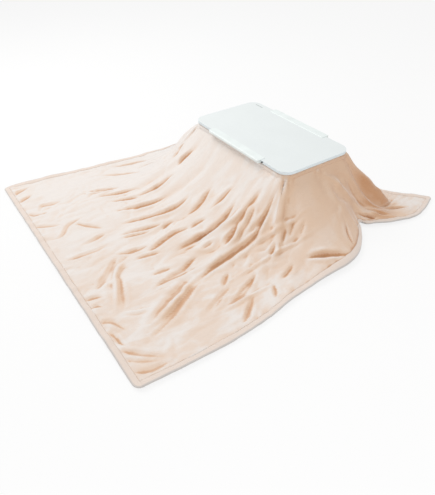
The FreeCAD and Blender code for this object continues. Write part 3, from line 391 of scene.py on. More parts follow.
class Tree:
    """The node tree of a material or a world, and the method that adds any node to it."""

    def __init__(self, name, kind="materials"):
        self.owner = getattr(bpy.data, kind).new(name)
        self.owner.use_nodes = True
        self.nodes = self.owner.node_tree.nodes
        self.links = self.owner.node_tree.links
        self.nodes.clear()

    def node(self, kind, settings=None, *values, out=0, **named):
        """Adds a node, sets it, then feeds its sockets by number or by name."""
        made = set_all(self.nodes.new(kind), settings or {})
        for key, value in [*enumerate(values), *named.items()]:
            if value is not None:
                self.feed(made.inputs[key.replace("_", " ") if isinstance(key, str) else key], value)
        return Sock(self, made.outputs[out]) if made.outputs else None

    def feed(self, socket, value):
        if isinstance(value, Sock):
            self.links.new(value.socket, socket)
        elif socket.type == "RGBA" and len(value) == 3:
            socket.default_value = (*value, 1)
        else:
            socket.default_value = value

    def mix(self, share, first, second):
        """The first colour at 0, the second at 1."""
        unused = [None] * 5
        return self.node("ShaderNodeMix", {"data_type": "RGBA"}, share, *unused, first, second, out=2)

    def tones(self, share, tint, low, high):
        """One shade of a colour at 0, another at 1."""
        return self.mix(share, shade(tint, low), shade(tint, high))

    def place(self, scale=(1, 1, 1), turn=(0, 0, 0)):
        """Object coordinates in metres, turned and scaled."""
        here = self.node("ShaderNodeTexCoord", out="Object")
        return self.node("ShaderNodeMapping", None, here, (0, 0, 0), turn, scale)

    def laid(self, scale=(1, 1, 1)):
        """The piece's own flat coordinates in metres, scaled."""
        return self.node("ShaderNodeMapping", None, self.node("ShaderNodeUVMap"), (0, 0, 0), (0, 0, 0), scale)

    def along(self, axis, where):
        return self.node("ShaderNodeSeparateXYZ", None, where, out=axis)

    def noise(self, where, scale, detail=3.0, rough=0.5, distortion=0.0):
        return self.node("ShaderNodeTexNoise", None, Vector=where, Scale=scale, Detail=detail, Roughness=rough,
                         Distortion=distortion)

    def cells(self, where, scale, out=0):
        return self.node("ShaderNodeTexVoronoi", None, Vector=where, Scale=scale, out=out)

    def bump(self, height, depth, strength=1.0, under=None):
        return self.node("ShaderNodeBump", None, Strength=strength, Distance=depth, Height=height, Normal=under)

    def finish(self, **values):
        shader = self.node("ShaderNodeBsdfPrincipled", None, **values)
        self.node("ShaderNodeOutputMaterial", None, shader)
        return self.owner


def shade(value, factor):
    """A colour made lighter or darker."""
    return tuple(min(1.0, part * factor) for part in value)


def drawn_out(axis, along, across):
    """Scales of a pattern that is drawn out along one axis."""
    return [along if k == axis else across for k in range(3)]


def melamine(name, white):
    """Satin white face with a faint pearl and a very fine pebble."""
    t = Tree(name)
    here = t.place()
    cloud = t.noise(here, 7, 3)
    pebble = t.cells(here, 900)
    fine = t.noise(here, 420, 2)
    return t.finish(Base_Color=t.tones(cloud, white, 0.975, 1.02),
                    Roughness=0.26 + 0.10 * fine + 0.05 * cloud,
                    Normal=t.bump(pebble + 0.5 * fine, 0.00004, 0.35), Coat_Weight=0.12, Coat_Roughness=0.2)


def edging(name, white):
    """Edge band: the face's white with the fine lines its extruding leaves."""
    t = Tree(name)
    lines = t.noise(t.place((3, 3, 900)), 1, 2)
    spots = t.noise(t.place(), 60, 3)
    pale = (white[0] * 0.96, white[1], min(1.0, white[2] * 1.04))
    return t.finish(Base_Color=t.mix(spots, shade(pale, 0.97), pale), Roughness=0.34 + 0.12 * lines,
                    Normal=t.bump(lines, 0.00003, 0.4))


def moulded(name, tint, rough=0.5, grain=260, depth=0.00006):
    """Moulded plastic or rubber with a fine spark texture and slightly rubbed high spots."""
    t = Tree(name)
    here = t.place()
    spark = t.cells(here, grain * 3)
    cloud = t.noise(here, 18, 4)
    rubbed = t.noise(here, 55, 3).step(0.58, 0.75)
    tone = t.tones(cloud, tint, 0.9, 1.06)
    return t.finish(Base_Color=t.mix(0.35 * rubbed, tone, shade(tint, 1.25)), Roughness=rough - 0.12 * rubbed,
                    Normal=t.bump(spark, depth, 0.6))


def fibre_board(name, tint):
    """Sanded wood-fibre board: felted fibres in two tones."""
    t = Tree(name)
    fibres = t.noise(t.place((260, 90, 700)), 1, 4, 0.65)
    flakes = t.cells(t.place((130, 130, 420)), 1)
    tone = t.mix(fibres.step(0.3, 0.7), shade(tint, 0.72), t.mix(flakes, tint, shade(tint, 1.3)))
    return t.finish(Base_Color=tone, Roughness=0.78, Normal=t.bump(fibres, 0.00012, 0.6))


def timber(name, tint, axis, paint=0.0):
    """Wood with its grain along one axis. With paint, only the grain's relief shows through."""
    t = Tree(name)
    wander = t.noise(t.place(drawn_out(axis, 0.9, 14)), 1, 3, 0.5, 0.6)
    rings = (26 * wander).wave()
    pores = t.noise(t.place(drawn_out(axis, 14, 1260)), 1, 2)
    grain = t.tones(rings, tint, 0.80, 1.08)
    grain = t.mix(0.5 * pores.step(0.55, 0.75), grain, shade(tint, 0.62))
    worn = t.noise(t.place(), 35, 4).step(0.60, 0.72)
    painted = t.mix(0.25 * worn, t.mix(rings, shade(tint, 0.97), tint), shade(tint, 0.86))
    return t.finish(Base_Color=t.mix(paint, grain, painted), Roughness=0.42 + 0.16 * pores - 0.08 * worn,
                    Normal=t.bump(0.4 * rings + pores, 0.00009, 0.45), Coat_Weight=0.2, Coat_Roughness=0.3)


def plated(name, tint, axis=0):
    """Bright plated steel: drawn lines along one axis, dull patches and fine scratches."""
    t = Tree(name)
    drawn = t.noise(t.place(drawn_out(axis, 12, 900)), 1, 2)
    dull = t.noise(t.place(), 26, 4, 0.6)
    scratch = t.noise(t.place((60, 1500, 1500), (0.3, 0.2, 0.7)), 1, 1).step(0.68, 0.72)
    return t.finish(Base_Color=t.tones(dull, tint, 0.84, 1.1), Metallic=1.0,
                    Roughness=0.24 + 0.22 * dull + 0.08 * drawn + 0.1 * scratch,
                    Normal=t.bump(drawn, 0.00002, 0.5))


def galvanised(name, tint):
    """Zinc-coated sheet with its spangle."""
    t = Tree(name)
    spangle = t.cells(t.place(), 130)
    grey = t.along("X", t.cells(t.place(), 130, "Color"))
    smear = t.noise(t.place(), 30, 4)
    return t.finish(Base_Color=t.tones(grey, tint, 0.8, 1.15), Metallic=1.0,
                    Roughness=0.32 + 0.16 * grey + 0.1 * smear, Normal=t.bump(spangle, 0.00002, 0.4))


def polished(name, tint):
    """Rolled bright sheet with faint rolling lines and heat tint."""
    t = Tree(name)
    straw = (0.86, 0.80, 0.66)
    rolled = t.noise(t.place((14, 900, 900)), 1, 2)
    heat = t.noise(t.place(), 11, 3)
    return t.finish(Base_Color=t.mix(heat, tint, straw), Metallic=1.0, Roughness=0.07 + 0.1 * rolled,
                    Normal=t.bump(rolled, 0.00001, 0.5))


def flocked(name, tint):
    """Wire with short brown flock on it."""
    t = Tree(name)
    bare_wire = (0.25, 0.2, 0.17)
    fluff = t.noise(t.place(), 1700, 3, 0.7)
    thin = t.noise(t.place(), 70, 3).step(0.6, 0.8)
    tone = t.mix(0.5 * thin, t.tones(fluff, tint, 0.6, 1.7), bare_wire)
    return t.finish(Base_Color=tone, Roughness=0.92, Normal=t.bump(fluff, 0.0004, 0.8), Sheen_Weight=0.5,
                    Sheen_Roughness=0.5)


def clear_quartz(name):
    """Quartz tube with faint draw lines."""
    t = Tree(name)
    lines = t.noise(t.place((6, 700, 700)), 1, 2)
    return t.finish(Base_Color=t.mix(lines, (0.96, 0.95, 0.92), (1, 1, 1)), Roughness=0.03 + 0.06 * lines,
                    Alpha=0.28 + 0.12 * lines, Normal=t.bump(lines, 0.00002, 0.4))


def oxidised(name, tint):
    """Heating wire: dark blue-brown oxide."""
    t = Tree(name)
    blued = (0.20, 0.19, 0.22)
    scale = t.noise(t.place(), 600, 3)
    return t.finish(Base_Color=t.mix(scale, tint, blued), Metallic=0.7, Roughness=0.5 + 0.25 * scale,
                    Normal=t.bump(scale, 0.00008, 0.6))


def earthen(name, tint):
    """Unglazed ceramic with specks."""
    t = Tree(name)
    brown = (0.3, 0.24, 0.18)
    specks = t.noise(t.place(), 900, 2).step(0.66, 0.72)
    cloud = t.noise(t.place(), 40, 3)
    tone = t.mix(0.5 * specks, t.tones(cloud, tint, 0.93, 1.05), brown)
    return t.finish(Base_Color=tone, Roughness=0.7 + 0.1 * cloud, Normal=t.bump(cloud + specks, 0.00008, 0.5))


def felted(name, tint, size=700):
    """Needled felt or braided sleeve: crossing fibres."""
    t = Tree(name)
    one = t.noise(t.place((size, size * 0.12, size)), 1, 3, 0.6)
    two = t.noise(t.place((size * 0.12, size, size), (0, 0, 0.6)), 1, 3, 0.6)
    fibres = one.math("MAXIMUM", one, two)
    return t.finish(Base_Color=t.tones(fibres.step(0.4, 0.75), tint, 0.6, 1.35), Roughness=0.95,
                    Normal=t.bump(fibres, 0.0003, 0.8))


def piled(t, tone, pile, normal):
    """The quilt's short soft pile: dull, with a glow on its tips."""
    return t.finish(Base_Color=tone, Roughness=0.86 + 0.1 * pile, Normal=normal, Specular_IOR_Level=0.2,
                    Sheen_Weight=0.9, Sheen_Roughness=0.5, Sheen_Tint=(1.0, 0.98, 0.97))


def plush(name, s):
    """Short warm plush: fine pile, patches of two tones, and painted shade towards the right, where the cloth
    faces right or back, and down in the creases.
    """
    t = Tree(name)
    flat = t.laid()
    crease = t.node("ShaderNodeAttribute", {"attribute_name": "crease"}, out="Fac")
    against = t.node("ShaderNodeAttribute", {"attribute_name": "against"}, out="Fac")
    patches = t.noise(t.laid((11, 5, 1)), 1, 3, 0.55, 0.5)
    pile = t.noise(flat, 620, 2, 0.7)
    tufts = t.noise(flat, 170, 3, 0.6)
    soft = t.noise(t.laid((46, 12, 1)), 1, 3, 0.5, 0.7)
    folds = (soft * 5).wave()
    # Random patches of the painted-shade colour, more of them towards the right as painted shade
    patches_and_right_shade = (0.8 * t.along("X", flat) + 0.45).clamp() * patches.step(0.62, 0.38)
    tone = t.mix(0.45 * patches_and_right_shade, t.mix(patches, s.plush, shade(s.plush, 1.05)), s.plush_side)
    # Painted shade where the cloth faces right or back, deepest where it is turned furthest from the key lamp
    tone = t.mix(against.clamp(), tone, s.plush_side)
    tone = t.mix(0.9 * (against - 0.95).clamp(), tone, s.plush_deep)
    tone = t.mix(0.13 * (1 - pile), tone, shade(s.plush_deep, 1.25))
    # Painted shade down in the creases
    tone = t.mix(crease.clamp(), tone, s.plush_side)
    tone = t.mix((1.35 * crease - 0.45).clamp(), tone, s.plush_deep)
    wrinkled = t.bump(folds, 0.0016, 0.5)
    normal = t.bump(0.6 * pile + 0.4 * tufts, 0.0007, 0.55, wrinkled)
    return piled(t, tone, pile, normal)


def hem_plush(name, s):
    """The quilt's plush folded round the hem: gathered across it, paler along its outer rim."""
    t = Tree(name)
    flat = t.laid()
    across = t.along("Y", flat)
    pile = t.noise(flat, 620, 2, 0.7)
    gathers = t.noise(t.laid((75, 9, 1)), 1, 3, 0.55)
    rim = across.step(0.026, 0.034)
    tone = t.mix(0.26 * (1 - pile), t.mix(0.25, s.plush, s.plush_side), shade(s.plush_deep, 1.25))
    tone = t.mix(rim * 0.85, tone, t.mix(pile, shade(s.hem_rim, 0.85), s.hem_rim))
    normal = t.bump(pile, 0.0006, 0.5, t.bump(gathers, 0.002, 0.5))
    return piled(t, tone, pile, normal)


def thread(name, tint):
    """Twisted sewing thread."""
    t = Tree(name)
    twist = t.noise(t.place((1800, 1800, 900), (0.4, 0.3, 0.8)), 1, 2)
    return t.finish(Base_Color=t.tones(twist, tint, 0.7, 1.2), Roughness=0.6 + 0.2 * twist,
                    Normal=t.bump(twist, 0.0002, 0.6))


def long_side(node):
    """The axis along which a CAD node is longest."""
    low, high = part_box(node)
    sides = [high[axis] - low[axis] for axis in range(3)]
    return sides.index(max(sides))


def give(node, material):
    """Makes this the one material of a CAD node."""
    node.data.materials.clear()
    node.data.materials.append(material)


def dress(finishes):
    """Gives the CAD nodes of each slot their finish, with any grain along each node's longest side."""
    made = {}
    for part in frame["record"]["subparts"]:
        name = part["material_slot"]
        if name not in finishes:
            continue
        node = frame["nodes"][part["node"]]
        maker, *values = finishes[name]
        if name in GRAINED:
            axis = long_side(node.name)
            values.insert(1, axis)
            name += "_" + "xyz"[axis]
        if name not in made:
            made[name] = maker(name, *values)
        give(node, made[name])


def run_along(dx, dy):
    """The length of a line from its start to each point, from its steps."""
    return np.concatenate([[0], np.cumsum(np.hypot(dx, dy))])


def unit(vectors):
    """The vectors at a length of 1."""
    return vectors / np.maximum(np.linalg.norm(vectors, axis=-1, keepdims=True), 1e-12)


def smooth_line(points, count=24):
    """The line through the points, smoothed, and its length from the start at each place."""
    p = np.array(points, float)
    p = np.vstack([2 * p[0] - p[1], p, 2 * p[-1] - p[-2]])
    a, b, c, d = p[:-3], p[1:-2], p[2:-1], p[3:]
    k = np.linspace(0, 1, count, endpoint=False)[None, :, None]
    a, b, c, d = (q[:, None, :] for q in (a, b, c, d))
    line = 0.5 * (2 * b + (c - a) * k + (2 * a - 5 * b + 4 * c - d) * k ** 2 + (3 * b - a - 3 * c + d) * k ** 3)
    line = np.vstack([line.reshape(-1, p.shape[1]), p[-2]])
    return line, run_along(*np.diff(line, axis=0).T)


def follow(points, share):
    """Places at shares of the smoothed line's length."""
    line, reached = smooth_line(points)
    return np.stack([np.interp(share * reached[-1], reached, line[:, axis]) for axis in (0, 1)], -1)


def off_line(spots, line, reached):
    """Each spot's distance from a line of short steps, and its place as a share of the line's length."""
    steps = np.diff(line, axis=0)
    from_start = spots[:, None] - line[:-1]
    k = np.clip((from_start * steps).sum(-1) / (steps ** 2).sum(-1), 0, 1)
    apart = np.linalg.norm(from_start - k[..., None] * steps, axis=-1)
    nearest = apart.argmin(1)
    each = np.arange(len(spots))
    share = (reached[nearest] + k[each, nearest] * np.diff(reached)[nearest]) / reached[-1]
    return apart[each, nearest], share


def soft_noise(x, y, size, shift, seed):
    """Smooth seeded noise from 0 to 1, in cells of a size in metres, moved by so many cells."""
    grid = np.random.default_rng(seed).random((512, 512))
    x, y = x / size[0] + shift[0], y / size[1] + shift[1]
    i, j = np.floor(x).astype(int), np.floor(y).astype(int)
    fx, fy = x - i, y - j
    fx, fy = fx * fx * (3 - 2 * fx), fy * fy * (3 - 2 * fy)
    i, j = i % 511, j % 511
    low = grid[i, j] * (1 - fx) + grid[i + 1, j] * fx
    high = grid[i, j + 1] * (1 - fx) + grid[i + 1, j + 1] * fx
    return low * (1 - fy) + high * fy


def ramp(value, low, high):
    """Rises smoothly from 0 at low to 1 at high."""
    k = np.clip((value - low) / (high - low), 0, 1)
    return k * k * (3 - 2 * k)


class Drape:
    """The quilt's flat grid and the shape it takes, in metres from the table's centre on the floor."""

    def __init__(self, s):
        self.s = s
        self.half = s.width / 2
        self.a = (BOARD_HIGH.x - BOARD_LOW.x) / 2 - FRAME_INSET
        self.b = (BOARD_HIGH.y - BOARD_LOW.y) / 2 - FRAME_INSET
        self.seat = FRAME_HIGH.z + s.thickness / 2 + GAP
        self.v0 = -self.b - s.front_drop
        self.v1 = self.v0 + s.length

    def past_frame(self, places):
        """How far out each place lies past the frame's edge, seen from above."""
        return np.maximum(np.abs(places[..., 0]) - self.a, np.abs(places[..., 1]) - self.b)

    def from_edge(self, u, v):
        """Flat distance inwards from the quilt's cut edge."""
        return np.minimum(self.half - np.abs(u), np.minimum(v - self.v0, self.v1 - v))

    def grid(self, step, margin=0.0, even=1):
        """Flat coordinates of a grid whose counts of steps can be divided by even."""
        u1, v0, v1 = self.half - margin, self.v0 + margin, self.v1 - margin
        u = np.linspace(-u1, u1, round(2 * u1 / step / even) * even + 1)
        v = np.linspace(v0, v1, round((v1 - v0) / step / even) * even + 1)
        return np.meshgrid(u, v, indexing="ij")

    def slope(self, past, run, power):
        """Distance out and height of a hollow slope, at a length of cloth past the table's edge."""
        out = np.linspace(0, run + LONGEST_DROP, 4000)
        high = np.clip(1 - out / run, 0, 1) ** power
        reached = run_along(np.diff(out), self.seat * np.diff(high))
        return np.interp(past, reached, out), np.interp(past, reached, high)

    def start(self, u, v):
        """A smooth tent over the table with its hem on the outline."""
        side, side_high = self.slope(np.clip(np.abs(u) - self.a, 0, None), *SIDE_SLOPE)
        front, front_high = self.slope(np.clip(-self.b - v, 0, None), *FRONT_SLOPE)
        back, back_high = self.slope(np.clip(v - self.b, 0, None), *BACK_SLOPE)
        high = np.where(v < -self.b, front_high, back_high)
        x = np.where(np.abs(u) <= self.a, u, np.sign(u) * (self.a + side))
        x = u * (1 - high) + x * high
        y = np.where(v < -self.b, -self.b - front, np.where(v > self.b, self.b + back, v))
        z = (self.seat - TENT_FOOT) * side_high * high + TENT_FOOT
        return np.stack([*self.to_outline(u, v, x, y), z], -1)

    def to_outline(self, u, v, x, y):
        """Moves the tent's plan so that its edges lie on the hem's outline, blended inwards."""
        along = (v[0] - self.v0) / (self.v1 - self.v0)
        across = (u[:, 0] + self.half) / (2 * self.half)
        plan = np.stack([x, y], -1)
        right, left = follow(RIGHT_HEM, along) - plan[-1], follow(LEFT_HEM, along) - plan[0]
        front, back = follow(FRONT_HEM, across) - plan[:, 0], follow(BACK_HEM, across) - plan[:, -1]
        side = blend(np.abs(u), self.a, self.half)
        ahead, behind = blend(-v, self.b, -self.v0), blend(v, self.b, self.v1)
        by_side = np.where((u > 0)[..., None], right[None], left[None])
        by_end = ahead * front[:, None] + behind * back[:, None]
        corner = ahead * by_side[:, :1] + behind * by_side[:, -1:]
        plan = plan + side * by_side + by_end - side * corner
        return plan[..., 0], plan[..., 1]

    def guided(self, shape):
        """The tent with the main folds and a little unevenness pressed into it."""
        x, y, z = (shape[..., axis] for axis in range(3))
        lift = np.zeros_like(x)
        for depth, width, points in FOLDS:
            line = smooth_line(points, count=8)[0]
            near = np.min((x[..., None] - line[:, 0]) ** 2 + (y[..., None] - line[:, 1]) ** 2, -1)
            lift += depth * np.exp(-near / width ** 2)
        uneven = soft_noise(x, y, (0.045, 0.13), (40, 40), 4)
        uneven = uneven + 0.6 * soft_noise(x, y, (0.024, 0.07), (90, 9), 5)
        free = ramp(self.seat - z, 0.004, 0.05)
        z += free * (lift + 0.010 * (uneven - 0.5))
        z[...] = np.clip(z, TENT_FOOT, None)
        return shape

    def pinned(self, u, v):
        """The cloth between frame and board, and the whole hem except behind the table."""
        across, lengthwise = np.abs(u), np.abs(v)
        inset, round_inset, tip, edge = 0.02, 0.07, 0.25, 0.001
        inner = (across < self.a - inset) & (lengthwise < self.b - inset)
        corner = np.hypot(np.clip(across - (self.a - round_inset), 0, None),
                          np.clip(lengthwise - (self.b - round_inset), 0, None))
        inner &= corner < FRAME_CORNER
        hem = (v < self.v0 + edge) | (across > self.half - edge)
        tips = (v > self.v1 - edge) & (across > self.half - tip)
        return inner | hem | tips

    def fall(self):
        """Lets the cloth fall from the tent and returns its flat grid and where it came to rest."""
        s = self.s
        u, v = self.grid(s.cloth_step)
        shape = self.guided(self.start(u, v))
        cloth = mesh_object("falling_cloth", shape, grid_faces(np.arange(u.size).reshape(u.shape)))
        cloth.shape_key_add(name="start")
        rest = cloth.shape_key_add(name="flat")
        flat = np.stack([u * s.fullness, v * LENGTHWISE_FULLNESS, np.full_like(u, self.seat)], -1)
        rest.data.foreach_set("co", flat.astype(np.float32).ravel())
        rest.value = 0.0
        held = cloth.vertex_groups.new(name="held")
        held.add(np.nonzero(self.pinned(u, v).ravel())[0].tolist(), 1.0, "REPLACE")
        blocks = [self.table_block(), self.floor_block()]
        modifier = cloth.modifiers.new("Cloth", "CLOTH")
        set_all(modifier.settings, {**CLOTH, "bending_stiffness": s.stiffness, "rest_shape_key": rest})
        set_all(modifier.collision_settings, CONTACT)
        set_all(modifier.point_cache, {"frame_start": 1, "frame_end": s.frames})
        scene = bpy.context.scene
        scene.frame_start, scene.frame_end = 1, s.frames
        for step in range(1, s.frames + 1):
            scene.frame_set(step)
        fallen = cloth.evaluated_get(bpy.context.evaluated_depsgraph_get()).data
        co = np.zeros(len(fallen.vertices) * 3, np.float32)
        fallen.vertices.foreach_get("co", co)
        for made in (cloth, *blocks):
            bpy.data.objects.remove(made)
        scene.frame_set(1)
        return u, v, co.reshape(*u.shape, 3).astype(float)

    def table_block(self):
        """The frame as the cloth feels it: an upright prism with rounded corners."""
        across, lengthwise = (side - CONTACT["distance_min"] - FRAME_CORNER for side in (self.a, self.b))
        points = []
        for sx, sy, first in ((1, 1, 0), (-1, 1, 90), (-1, -1, 180), (1, -1, 270)):
            for turn in range(0, 91, 18):
                t = math.radians(first + turn)
                x, y = FRAME_CORNER * math.cos(t), FRAME_CORNER * math.sin(t)
                points.append((sx * across + x, sy * lengthwise + y))
        n = len(points)
        corners = [(x, y, z) for z in (0.0, self.seat - BLOCK_DROP) for x, y in points]
        faces = [tuple(range(n))[::-1], tuple(range(n, 2 * n))]
        faces += [(i, (i + 1) % n, n + (i + 1) % n, n + i) for i in range(n)]
        return solid("table_block", corners, faces, friction=40, inner=0.2)

    def floor_block(self):
        """The floor as the cloth feels it."""
        corners = [(-3, -3, 0), (3, -3, 0), (3, 3, 0), (-3, 3, 0)]
        return solid("floor_block", corners, [(0, 1, 2, 3)], friction=60, inner=0.5)

    def settle(self):
        """Takes the fallen cloth as the surface that the finished pieces are read from."""
        u, v, self.shape = self.fall()
        self.u, self.v = u[:, 0], v[0]
        # The cloth's own grid would show as dots along slanting folds, so its free part is smoothed
        free = ramp(self.from_edge(u, v), *SMOOTH_FROM_HEM)
        free = free * ramp(self.past_frame(self.shape), *SMOOTH_PAST_FRAME)
        for axis in range(3):
            part = self.shape[..., axis]
            part += free * (blurred(part, 4) - part)
        z = self.shape[..., 2]
        z[...] = np.maximum(z, self.s.thickness / 2 + MIDDLE_GAP)
        under = ramp(self.past_frame(self.shape), SMOOTH_PAST_FRAME[1], 0.0)
        z[...] = np.where(under > 0, np.minimum(z, self.seat + (1 - under) * 0.05), z)

    def read(self, u, v):
        """The surface at any flat coordinates, by smooth interpolation between the grid's points."""
        gu = np.clip((u - self.u[0]) / (self.u[1] - self.u[0]), 0, len(self.u) - 1)
        gv = np.clip((v - self.v[0]) / (self.v[1] - self.v[0]), 0, len(self.v) - 1)
        i = np.minimum(gu.astype(int), len(self.u) - 2)
        j = np.minimum(gv.astype(int), len(self.v) - 2)
        padded = np.pad(self.shape, ((1, 1), (1, 1), (0, 0)), mode="reflect", reflect_type="odd")
        total = 0
        for p, weight_u in enumerate(spread(gu - i)):
            for q, weight_v in enumerate(spread(gv - j)):
                total = total + (weight_u * weight_v)[..., None] * padded[i + p, j + q]
        return total

    def normal(self, u, v, reach=0.006):
        """The surface's upward direction."""
        along_u = self.read(u + reach, v) - self.read(u - reach, v)
        along_v = self.read(u, v + reach) - self.read(u, v - reach)
        return unit(np.cross(along_u, along_v))

    def wrinkles(self, u, v):
        """Height of the small soft wrinkles and of the puckers along the hem."""
        s = self.s
        bend = 0.10 * (soft_noise(u, v, (0.16, 0.16), (7, 7), 11) - 0.5)
        bend += 0.03 * (soft_noise(u, v, (0.06, 0.07), (17, 7), 22) - 0.5)
        lean = u / (1 + 0.25 * ramp(-v, self.b, self.b + 0.6)) + bend
        waves = 0
        for x, y, (size, shift, seed, sharpness, share) in (
                (lean, v - bend, LONG_WRINKLES), (lean, v + bend, SHORT_WRINKLES),
                (u + bend, v + 0.5 * u + bend, CROSS_WRINKLES)):
            waves = waves + share * np.abs(2 * soft_noise(x, y, size, shift, seed) - 1) ** sharpness
        patch = 0.40 + 0.60 * ramp(soft_noise(u, v, (0.17, 0.24), (30, 30), 15), 0.15, 0.7)
        front, back = ramp(-v - self.b, *WRINKLED_AHEAD), ramp(v - self.b, *WRINKLED_BEHIND)
        side = ramp(np.abs(u) - self.a, *WRINKLED_BESIDE)
        height = np.maximum(np.maximum(front, 0.6 * side), back) * patch * (waves - 0.6) * s.wrinkle_depth
        edges = (self.half - np.abs(u), v, 17), (v - self.v0, u, 18), (self.v1 - v, u, 19)
        for from_edge, along, seed in edges:
            inward = from_edge - s.hem_width
            pucker = soft_noise(along, inward, (0.034, 0.10), (50, 50), seed) - 0.35
            height += PUCKER_HEIGHT * pucker * np.exp(-np.clip(inward, 0, None) / PUCKER_REACH)
        return height

    def creased(self, u, v):
        """Height of the smaller folds and creases, and how far each crease squeezes the quilt's padding."""
        height, squeeze = np.zeros_like(u), np.zeros_like(u)
        uneven = 0.68 + 0.64 * soft_noise(u, v, (0.050, 0.050), (40, 40), 23)
        for depth, width, points in CREASES:
            line, reached = smooth_line(points, count=8)
            low, high = line.min(0) - 4 * width, line.max(0) + 4 * width
            near = (u > low[0]) & (u < high[0]) & (v > low[1]) & (v < high[1])
            away, share = off_line(np.stack([u[near], v[near]], -1), line, reached)
            fade = ramp(share, 0, 0.42) * ramp(share, 1, 0.58)
            if width < BROAD_FOLD:
                fade *= uneven[near]
            far = away / (width * (0.5 + 0.5 * fade))
            # A fold has a shallow hollow on both sides, and a crease a low swell
            height[near] += depth * fade * (np.exp(-far ** 2) - 0.45 * np.exp(-((far - 2.0) / 1.1) ** 2))
            if depth < 0:
                squeeze[near] = np.maximum(squeeze[near], fade * np.exp(-(far / 0.8) ** 2))
        return height, squeeze

    def hem_edge(self, per_metre):
        """Places along the hem's stitch line, and the flat direction outwards at each."""
        a = self.half - self.s.hem_width
        v0, v1 = self.v0 + self.s.hem_width, self.v1 - self.s.hem_width
        corners = np.array(((a, v0), (a, v1), (-a, v1), (-a, v0)))
        sides = np.array(((1.0, 0.0), (0.0, 1.0), (-1.0, 0.0), (0.0, -1.0)))
        places, outward = [], []
        for here, there, out, next_out in zip(corners, np.roll(corners, -1, 0), sides, np.roll(sides, -1, 0)):
            n = round(math.dist(here, there) * per_metre)
            places += [here + (there - here) * i / n for i in range(n)] + [there] * HEM_TURN
            outward += [out] * n
            for i in range(HEM_TURN):
                turn = math.pi / 2 * i / HEM_TURN
                outward.append(out * math.cos(turn) + next_out * math.sin(turn))
        return np.array(places), np.array(outward)


def solid(name, corners, faces, friction, inner):
    """A block that the cloth falls on. A single face holds it up from one side only."""
    block = mesh_object(name, corners, faces)
    block.modifiers.new("Collision", "COLLISION")
    contact = {"thickness_inner": inner, "thickness_outer": 0.001, "cloth_friction": friction,
               "use_normal": len(faces) == 1}
    set_all(block.collision, contact)
    return block


def blend(value, start, end):
    """How far the hem's own shift is felt at each place: not at all at the start, in full at the end."""
    return (np.clip(value - start, 0, None) / (end - start))[..., None] ** 1.3


def spread(k):
    """Weights of the four neighbours in a smooth interpolation."""
    return (0.5 * (-k + 2 * k ** 2 - k ** 3), 0.5 * (2 - 5 * k ** 2 + 3 * k ** 3),
            0.5 * (k + 4 * k ** 2 - 3 * k ** 3), 0.5 * (k ** 3 - k ** 2))


def grid_faces(index):
    """Faces of a grid of points, from the points' numbers."""
    return np.stack([index[:-1, :-1], index[1:, :-1], index[1:, 1:], index[:-1, 1:]], -1).reshape(-1, 4)


def mesh_object(name, points, faces):
    """A new object of these points and faces, at the origin."""
    mesh = bpy.data.meshes.new(name)
    mesh.from_pydata(np.asarray(points, float).reshape(-1, 3).tolist(), [], list(faces))
    made = bpy.data.objects.new(name, mesh)
    bpy.context.scene.collection.objects.link(made)
    return made


def finish_piece(piece, material, flat=None, **values):
    """Smooth shading, and each point's flat coordinates and other values for the material."""
    mesh = piece.data
    mesh.materials.append(material)
    mesh.polygons.foreach_set("use_smooth", np.ones(len(mesh.polygons), bool))
    if flat is not None:
        corners = np.zeros(len(mesh.loops), np.int32)
        mesh.loops.foreach_get("vertex_index", corners)
        layer = mesh.uv_layers.new(name="flat")
        layer.data.foreach_set("uv", flat[corners].astype(np.float32).ravel())
    for key, value in values.items():
        mesh.attributes.new(key, "FLOAT", "POINT").data.foreach_set("value", value.astype(np.float32))
    mesh.update()


def to_row(points):
    """From the table's centre to the row frame."""
    return points + np.array([CENTRE.x, CENTRE.y, 0.0])


def blurred(field, times, reach=1):
    """A grid of values, each mixed again and again with its neighbours at a reach of so many points."""
    for _ in range(times):
        wide = np.pad(field, reach, mode="edge")
        rows, columns = wide[:, reach:-reach], wide[reach:-reach]
        around = rows[:-2 * reach] + rows[2 * reach:] + columns[:, :-2 * reach] + columns[:, 2 * reach:]
        field = (field * 2 + around) / 6
    return field


def shell(name, top, bottom):
    """A closed sheet between two grids of points, the lower one with every other point of the upper."""
    nu, nv = top.shape[:2]
    above = np.arange(nu * nv).reshape(nu, nv)
    below = np.arange(((nu + 1) // 2) * ((nv + 1) // 2)).reshape((nu + 1) // 2, -1) + nu * nv
    faces = grid_faces(above).tolist() + grid_faces(below)[:, ::-1].tolist()
    rim, low_rim = border(above), border(below)
    for k, start in enumerate(low_rim):
        end = low_rim[(k + 1) % len(low_rim)]
        faces.append([rim[2 * k], start, end, rim[(2 * k + 2) % len(rim)], rim[2 * k + 1]])
    return mesh_object(name, np.vstack([top.reshape(-1, 3), bottom.reshape(-1, 3)]), faces)


def border(index):
    """The points round a grid's edge in order."""
    return np.concatenate([index[:-1, 0], index[-1, :-1], index[:0:-1, -1], index[0, :0:-1]]).tolist()


def on_both(values, *each):
    """Values for the upper face's points, then for the lower face's."""
    return np.concatenate([values.reshape(-1, *each), values[::2, ::2].reshape(-1, *each)])


